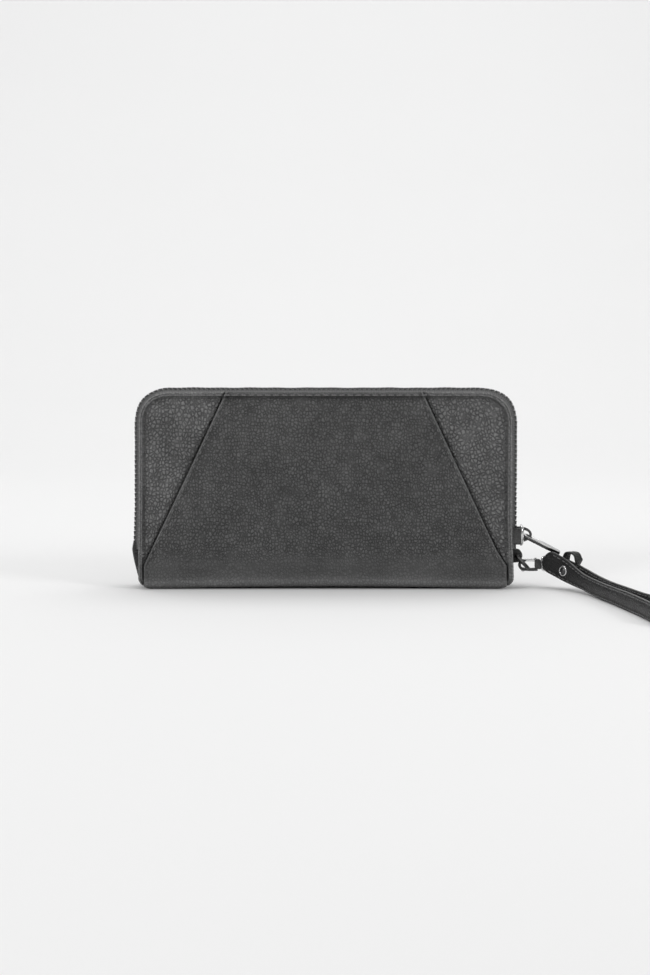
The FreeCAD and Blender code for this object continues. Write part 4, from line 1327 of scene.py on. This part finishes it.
def wrist_strap():
    """Both legs and the loop of the strap as one band with a rounded tongue at either end."""
    points = strap_line()
    steps = np.linalg.norm(np.diff(points, axis=0), axis=1)
    run = np.concatenate([[0], np.cumsum(steps)])
    even = np.linspace(0, run[-1], int(run[-1] / 0.9))
    line = np.column_stack([np.interp(even, run, points[:, k]) for k in range(3)])
    ways, outs, across = strap_frames(line)
    rings, uv, widths = [], [], []
    total = even[-1]
    for i, s in enumerate(even):
        end = min(s, total - s)
        share = math.sqrt(max(1 - (1 - end / 4.6) ** 2, 0.0)) if end < 4.6 else 1.0
        width = strap_width(s, total) / 2 * max(share, 0.2) * (1 + 0.015 * math.sin(s / 7.0))
        ripple = 0.12 * noise.noise(Vector((s / 9.0, 0.3, 5.0)))
        thin = min(1.0, 0.6 + end / 4.0)
        section = strap_section(width, STRAP_THICK / 2)
        rings.append([line[i] + (a * thin + ripple) * outs[i] + b * across[i] for a, b in section])
        uv.append([(s, b + (40 if a < 0 else 0)) for a, b in section])
        widths.append(width)
    rings = np.array(rings)
    columns = rings.shape[1]
    faces = grid_faces(len(rings), columns, wrap=True)
    kinds = [1 if face[0] % columns in (columns // 2 - 1, columns - 1) else 0 for face in faces]
    faces.append(list(range(columns))[::-1])
    faces.append([(len(rings) - 1) * columns + c for c in range(columns)])
    strap = add_mesh("strap_leather_band", rings.reshape(-1, 3), faces, ["strap", "edge"],
                     np.array(uv).reshape(-1, 2), kinds + [1, 1])
    places = []
    for s in np.arange(5.5, total - 5.5, 3.2):
        i = int(np.searchsorted(even, s))
        for face in (-1, 1):
            for edge in (-1, 1):
                spot = line[i] + face * 0.88 * outs[i] + edge * 0.76 * widths[i] * across[i]
                places.append((spot, ways[i], face * outs[i]))
    thread = sew(Shapes(), places, 2.3, 0.42).make("strap_stitching", ["thread"])
    for piece, name in ((strap, "strap_leather"), (thread, "thread")):
        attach(piece, "strap")
    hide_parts("wrist_strap")
    return strap, thread, line


def end_tab_fold():
    """The narrow tab that folds round the swivel's bar, between the strap's two legs."""
    low, high = place("strap_rivet")
    rivet = (low + high) / 2
    bar = pivot("strap_turn")
    along = np.array([rivet[0] - bar[0], rivet[1] - bar[1], 0])
    length = np.linalg.norm(along)
    along /= length
    across = np.array([-along[1], along[0], 0])
    low, high = place("strap_end_tab")
    middle = (low[2] + high[2]) / 2
    half = (high[2] - low[2]) / 2
    reach = float(length) + 2.0
    path = [(reach - 0.3, 0.72)]
    path += [(x, 0.72) for x in np.linspace(reach - 1.5, 2.6, 5)]
    path += [(1.36 * math.cos(a), 1.36 * math.sin(a)) for a in np.radians(np.linspace(36, 324, 19))]
    path += [(x, -0.72) for x in np.linspace(2.6, reach - 1.5, 5)]
    path += [(reach - 0.3, -0.72)]
    line = [np.array([bar[0], bar[1], middle]) + x * along + y * across for x, y in path]
    verts, faces = swept(line, oblong(0.5, half, 0.35, 3), up=(0, 0, 1))
    tab = Shapes().add(verts, faces, 0, verts[:, [0, 2]]).make("strap_tab_leather", ["strap"])
    stand_in(tab, "strap_end_tab", "strap")
    return rivet, along, across


def strap_rivet(line, rivet):
    """A domed head on each leg's outer face, a rim round each and a shank between them. The rims take the
    bright metal: a painted highlight round each dark dome.
    """
    ways, outs, _ = strap_frames(line)
    shapes = Shapes()
    heads = []
    far = slice(len(line) - 24, len(line) - 2)
    for stretch, radius, height in ((slice(0, 26), 2.15, 1.2), (far, 1.9, 0.85)):
        gap = np.linalg.norm((line - rivet)[stretch], axis=1)
        front = stretch.start == 0
        i = int(np.argmin(gap)) + (4 if front else stretch.start - 3)
        out = outs[i] * (1 if (outs[i][1] < 0) == front else -1)
        spot = line[i] + out * (STRAP_THICK / 2 * 1.28)
        spot[2] -= 0.1 if front else 0
        side = np.cross(out, ways[i])
        cap, faces = dome(radius, height, 28, 9, 0.5)
        shapes.add(framed(cap, spot, ways[i], side, out), faces)
        rim = [spot + out * 0.06 + (radius + 0.12) * (math.cos(a) * ways[i] + math.sin(a) * side)
               for a in np.linspace(0, 2 * math.pi, 28, endpoint=False)]
        # The rim's bright metal is a painted highlight.
        shapes.add(*swept(rim, circle(0.55, 8), closed=True), 1)
        heads.append(spot)
    shapes.add(*swept([heads[0], (heads[0] + heads[1]) / 2, heads[1]], circle(1.0, 16)))
    piece = shapes.make("rivet_metal_painted_rim_highlight", ["dark", "bright"], 50)
    stand_in(piece, "strap_rivet", "strap")
    return piece


def strap_keeper(rivet, along, across):
    """The slack leather loop round the far leg, twisted where it stands above the strap."""
    low, high = place("strap_keeper")
    up = np.array([0, 0, 1.0])
    centre = np.array([rivet[0], rivet[1], 0]) + 4.0 * along + 3.15 * across
    foot, head = low[2] + 0.55, high[2] - 0.55
    loop, leads = [], []
    for a in np.linspace(0, 2 * math.pi, 56, endpoint=False):
        c, s = math.cos(a), math.sin(a)
        z = (foot + head) / 2 + (head - foot) / 2 * math.copysign(abs(s) ** 0.8, s)
        twist = -100 * float(smooth_step(z, 10.0, 16.0))
        y_way = turned([across], up, twist)[0]
        wide = 2.85 + 2.4 * float(smooth_step(z, 10.0, 17.0))
        y = wide * math.copysign(abs(c) ** 0.6, c)
        loop.append(centre + y * y_way + z * up)
        leads.append(turned([along], up, twist)[0])
    verts, faces = swept(loop, oblong(0.55, 2.3, 0.42, 3), closed=True, up=np.array(leads))
    shapes = Shapes().add(verts, faces, 0, verts[:, [0, 2]])
    keeper = shapes.make("keeper_leather", ["strap"])
    stand_in(keeper, "strap_keeper", "strap")
    return keeper


# Inside

def card_row(side, row, body, node):
    """One leather card pocket sheet: a folded top edge, and stitches along it and at the middle."""
    low, high = place(node)
    width, top, base = high[0], high[2], low[2]
    middle_y = (low[1] + high[1]) / 2
    half = spread_steps(width, 0.5, 2.2, 3.0)
    xs = np.concatenate([-half[::-1], half[1:]])
    zs = spread_steps(top - base, 0.4, 2.2, 3.2)[::-1] + base
    x, z = np.meshgrid(xs, zs)
    under = top - z
    hem = np.interp(under, [0, 0.2, 0.5, 1.0, 1.6, 2.1, 2.6], [-0.1, 0.02, 0.07, 0.05, -0.03, 0.02, 0.0])
    divider = -0.06 * np.exp(-(np.abs(x) / 0.45) ** 2)
    lift = hem + divider + 0.05 * np.sin(x / 17.0 + row) * smooth_step(z, base, top)
    outer = np.stack([x, middle_y - side * (0.15 + lift), z], -1)
    inner = np.stack([x, np.full_like(x, middle_y + side * 0.14), z], -1)
    verts, faces, kinds, uv = skin(outer, inner, np.stack([x, z], -1))
    shapes = Shapes()
    shapes.add(verts, faces, 0, uv)
    shapes.kinds = kinds
    places = [((a, middle_y - side * 0.15, top - 1.6), (1, 0, 0), (0, -side, 0))
              for a in np.arange(-width + 2.5, width - 2, 3.4)]
    places += [((0, middle_y - side * 0.15, a), (0, 0, 1), (0, -side, 0))
               for a in np.arange(max(base + 2, top - 11.5), top - 3, 3.4)]
    sew(shapes, places, 2.4, 0.26, 2)
    obj = shapes.make(node + "_leather", ["inner", "edge", "thread"])
    stand_in(obj, node, body)


def cover_sheet(node, body, inset, material, name, pad=False):
    """A layer inside a cover, with the cover's outline drawn in by the inset."""
    low, high = place(node)
    side = 1 if low[1] > 0 else -1
    half = HALF_X - inset
    top = TOP_Z - inset
    r = TOP_ROUND - inset
    angles = np.linspace(math.pi / 2, 0, 18)
    zs = np.concatenate([top - r + r * np.sin(angles), np.linspace(top - r, low[2], 26)[1:]])
    above = np.clip(zs - (top - r), 0, r)
    reach = half - r + np.sqrt(np.maximum(r * r - above ** 2, 0))
    share = spread_steps(2.0, 0.02, 0.05, 0.1) - 1
    x = reach[:, None] * share[None, :]
    z = zs[:, None] * np.ones_like(x)
    edge = np.minimum.reduce([reach[:, None] - np.abs(x), top - z, z - low[2]])
    near, far = sorted((abs(low[1]), abs(high[1])))
    soft = np.interp(edge, [0, 0.3, 1.2, 6, 20], [0.0, 0.5, 0.85, 1.0, 1.0])
    if pad:
        crown = 0.55 * np.interp(edge, [0, 6, 30], [-0.3, 0.45, 0.85]) * smooth_step(z, 16, 34)
        wave = 0.0
    else:
        crown = 0.0
        wave = np.where(edge > 2, undulation(x, z, 31.0 + inset, 22.0, 0.05), 0)
    outer = np.stack([x, side * (near + (far - near) * (0.5 + 0.5 * soft) + crown), z], -1)
    inner = np.stack([x, side * (near + (far - near) * (0.5 - 0.5 * soft) + wave), z], -1)
    verts, faces, _, uv = skin(outer, inner, np.stack([x, z], -1))
    obj = add_mesh(name, verts, faces, [material], uv)
    stand_in(obj, node, body)
    return obj


def spine_lining_piece():
    """The cloth inside the spine, arched with the leather."""
    half, _, top = place("spine_lining")[1]
    rows = []
    y_in = HALF_Y - LEATHER
    r = SPINE_ROUND - LEATHER
    for z in np.linspace(top, SPINE_ROUND, 5):
        rows.append((-y_in, z, -1.0, 0.0))
    for a in np.linspace(0, math.pi / 2, 12)[1:]:
        rows.append((-SPINE_FLAT - r * math.cos(a), SPINE_ROUND - r * math.sin(a),
                     -math.cos(a), -math.sin(a)))
    for y in np.linspace(-SPINE_FLAT, SPINE_FLAT, 9)[1:-1]:
        rows.append((y, LEATHER, 0.0, -1.0))
    rows += [(-y, z, -ny, nz) for y, z, ny, nz in reversed(rows[:16])]
    rows = np.array(rows)
    x = np.linspace(-half, half, 90)[None, :] * np.ones((len(rows), 1))
    y, z, ny, nz = (rows[:, i][:, None] * np.ones_like(x) for i in range(4))
    out = np.stack([np.zeros_like(x), ny, nz], -1)
    plain = np.stack([x, y, z], -1)
    ripple = 0.05 * np.sin(x / 6.0)[..., None]
    outer = warp(plain - out * 0.03)
    inner = warp(plain - out * (0.36 + ripple))
    run = np.cumsum(np.concatenate([[0], np.hypot(np.diff(rows[:, 0]), np.diff(rows[:, 1]))]))
    flat = np.stack([x, run[:, None] * np.ones_like(x)], -1)
    middle = len(rows) // 2
    for name, part, start, end, pair in (
            ("spine_cloth_front", slice(0, middle + 1), (0, 0, 0), (0, -y_in * MM, (top - 1.5) * MM),
             ("coin_pocket", "front_half")),
            ("spine_cloth_back", slice(middle, None), (0, y_in * MM, (top - 1.5) * MM), (0, 0, 0),
             ("back_half", "coin_pocket"))):
        verts, faces, _, uv = skin(outer[part], inner[part], flat[part])
        obj = add_mesh(name, verts, faces, ["lining"], uv)
        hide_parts("spine_lining")
        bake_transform(obj)


def gusset(side, end, node):
    """A folded cloth-backed leather sheet between the coin pocket's end and a cover."""
    low, high = place(node)
    fold = [(81.0, 3.05), (78.2, 3.75), (75.3, 4.85), (73.9, 5.3), (74.3, 5.6), (76.5, 6.05),
            (82.0, 7.15), (87.5, 8.25), (91.0, 8.95)]
    last = len(fold) - 1
    zs = np.linspace(low[2], high[2], 30)
    outer, inner, uv = [], [], []
    for z in zs:
        wave = 0.10 * math.sin(z / 6.5 + end) + 0.05 * math.sin(z / 2.9)
        outer.append([(end * (x + wave * k / last), side * (y + 0.12), z) for k, (x, y) in enumerate(fold)])
        inner.append([(end * (x + wave * k / last), side * (y - 0.12), z) for k, (x, y) in enumerate(fold)])
        uv.append([(2.2 * k, z) for k in range(len(fold))])
    verts, faces, _, uv = skin(np.array(outer), np.array(inner), np.array(uv))
    obj = add_mesh(node + "_sheet", verts, faces, ["inner"], uv)
    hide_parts(node)
    if side < 0:
        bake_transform(obj)
    else:
        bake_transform(obj)
    return obj


def coin_wall(side, node):
    """One leather wall of the coin pocket, softly uneven, with a stitched top edge."""
    low, high = place(node)
    xs = spread_steps(high[0] - low[0], 0.5, 2.4, 3.0) + low[0]
    zs = (spread_steps(high[2] - low[2], 0.5, 2.4, 4.0) + low[2])[::-1]
    x, z = np.meshgrid(xs, zs)
    edge = np.minimum.reduce([x - low[0], high[0] - x, high[2] - z, z - low[2]])
    puff = np.interp(edge, [0, 0.3, 1.0, 2.2, 2.8, 5, 20], [-0.2, -0.05, 0.0, -0.06, 0.0, 0.05, 0.1])
    puff = puff + undulation(x, z, 41.0 + side, 18.0, 0.12) * smooth_step(edge, 2, 10)
    face = max(abs(low[1]), abs(high[1]))
    back = min(abs(low[1]), abs(high[1]))
    outer = np.stack([x, side * (face + puff), z], -1)
    inner = np.stack([x, np.full_like(x, side * back), z], -1)
    verts, faces, kinds, uv = skin(outer, inner, np.stack([x, z], -1))
    shapes = Shapes().add(verts, faces, 0, uv)
    shapes.kinds = kinds
    places = [((a, side * (face - 0.05), high[2] - 2.2), (1, 0, 0), (0, side, 0))
              for a in np.arange(low[0] + 3, high[0] - 2, 3.6)]
    sew(shapes, places, 2.6, 0.36, 2)
    obj = shapes.make(node + "_leather", ["inner", "edge", "thread"])
    stand_in(obj, node, "coin_pocket")


COIN_TOOTH_PITCH = 2.4


def coin_zip(side, tape_node, teeth_node):
    """One tape and row of teeth of the coin pocket's open zip."""
    low, high = place(tape_node)
    xs = np.linspace(low[0], high[0], 100)
    zs = np.linspace(high[2], low[2] - 1.2, 9)
    x, z = np.meshgrid(xs, zs)
    middle = (low[1] + high[1]) / 2
    wave = 0.05 * np.sin(x / 5.0)
    bead = np.interp(high[2] - z, [0, 0.5, 1.1, 1.8], [0.12, 0.16, 0.02, 0.0])
    outer = np.stack([x, middle + side * (0.2 + bead + wave), z], -1)
    inner = np.stack([x, middle - side * (0.2 + bead - wave), z], -1)
    verts, faces, _, uv = skin(outer, inner, np.stack([x, z], -1))
    obj = add_mesh(tape_node + "_cloth", verts, faces, ["tape"], uv)
    stand_in(obj, tape_node, "coin_pocket")
    t_low, t_high = place(teeth_node)
    y = (t_low[1] + t_high[1]) / 2
    root = t_low[2]
    shapes = Shapes()
    for a in np.arange(t_low[0], t_high[0] - 0.5, COIN_TOOTH_PITCH):
        shapes.add(*rounded_box((a - 0.05, y - 0.55, root - 1.0), (a + 0.95, y + 0.55, root + 1.3),
                                0.25, 0.2, 2))
        shapes.add(*rounded_box((a + 0.1, y - 0.42, root + 1.0), (a + 0.8, y + 0.42, t_high[2]),
                                0.2, 0.25, 2))
    obj = shapes.make(teeth_node + "_metal", ["teeth"], 40)
    stand_in(obj, teeth_node, "coin_pocket")


KEPT = {
    "front_board": "board", "back_board": "board",
    "coin_pocket_base": "inner", "coin_pocket_left_side": "inner", "coin_pocket_right_side": "inner",
    "coin_zip_slider": "dark", "coin_zip_puller": "bright",
}


def finish_kept():
    """CAD nodes whose shape is right keep it and get a real finish."""
    for node, key in KEPT.items():
        obj = frame["nodes"][node]
        obj.data.materials.clear()
        obj.data.materials.append(M[key])


# Studio

def make_studio():
    """A pale paper sweep, and softboxes overhead, at both sides and on the backdrop."""
    near, far, height, bend, half_width = -3.0, 1.6, 3.0, 0.8, 3.5
    profile = [(near, 0.0)] + [(y, 0.0) for y in np.linspace(-2, far - bend, 6)]
    profile += [(far - bend + bend * math.sin(a), bend - bend * math.cos(a))
                for a in np.radians(np.arange(10, 91, 10))]
    profile += [(far, z) for z in (1.4, 2.2, height)]
    verts, faces = [], []
    for y, z in profile:
        verts += [(-half_width, y, z), (half_width, y, z)]
    for k in range(len(profile) - 1):
        faces.append([2 * k, 2 * k + 1, 2 * k + 3, 2 * k + 2])
    mesh = bpy.data.meshes.new("paper_sweep")
    mesh.from_pydata(verts, [], faces)
    mesh.polygons.foreach_set("use_smooth", np.ones(len(mesh.polygons), bool))
    mesh.materials.append(studio_paper())
    sweep = bpy.data.objects.new("paper_sweep", mesh)
    bpy.context.scene.collection.objects.link(sweep)

    world = bpy.data.worlds.new("studio")
    world.use_nodes = True
    background = world.node_tree.nodes["Background"]
    background.inputs["Color"].default_value = (1.0, 1.0, 1.0, 1.0)
    background.inputs["Strength"].default_value = 0.40
    bpy.context.scene.world = world

    lights = [
        ("overhead", (0.0, 0.55, 1.7), (0, 0.2, 0), (2.0, 1.2), 15.0),
        ("left_box", (-0.95, -1.25, 0.75), (0, 0, 0.05), (0.5, 0.5), 7.0),
        ("right_box", (1.15, -0.95, 0.7), (0, 0, 0.05), (0.5, 0.5), 6.5),
        ("wall_box", (0.0, -0.2, 2.2), (0, 1.6, 1.4), (1.6, 0.8), 9.0),
    ]
    for name, spot, aim, size, power in lights:
        data = bpy.data.lights.new(name, "AREA")
        data.shape = "RECTANGLE"
        data.size, data.size_y = size
        data.energy = power
        light = bpy.data.objects.new(name, data)
        bpy.context.scene.collection.objects.link(light)
        light.location = spot
        light.rotation_euler = (Vector(aim) - Vector(spot)).to_track_quat("-Z", "Y").to_euler()
    bpy.context.scene.view_settings.view_transform = "Standard"


def main():
    make_camera()
    strap, thread, line = wrist_strap()
    rivet_at, along, across = end_tab_fold()
    rivet = strap_rivet(line, rivet_at)
    keeper = strap_keeper(rivet_at, along, across)

    back_hide()
    front_centre_hide()
    front_side_hide(-1, "front_left_panel")
    front_side_hide(1, "front_right_panel")
    for side, body, name in ((-1, "front_half", "front"), (1, "back_half", "back")):
        edge_stitching(side, body, name + "_edge_stitching")
        zip_tape(side, body, "zip_tape_" + name)
        zip_teeth(side, body, "zip_teeth_" + name)
        cover_sheet(name + "_lining", body, 2.4, "lining", name + "_lining_cloth")
        cover_sheet(name + "_padding", body, 5.0, "foam", name + "_foam", pad=True)
        for row in range(1, 5):
            card_row(side, row, body, "%s_card_row_%d" % (name, row))
        coin_wall(side, "coin_pocket_%s_wall" % name)
        coin_zip(side, "coin_zip_tape_" + name, "coin_zip_teeth_" + name)
        for end, hand in ((-1, "left"), (1, "right")):
            gusset(side, end, "%s_gusset_%s" % (name, hand))
    seam_stitching()
    spine_lining_piece()
    end_tab(-1, "end_tab_left")
    end_tab(1, "end_tab_right")
    slider_body()
    slider_bridge()
    zip_puller()
    d_ring()
    clasp()
    clasp_gate()
    swivel_eye()
    finish_kept()
    make_studio()


main()
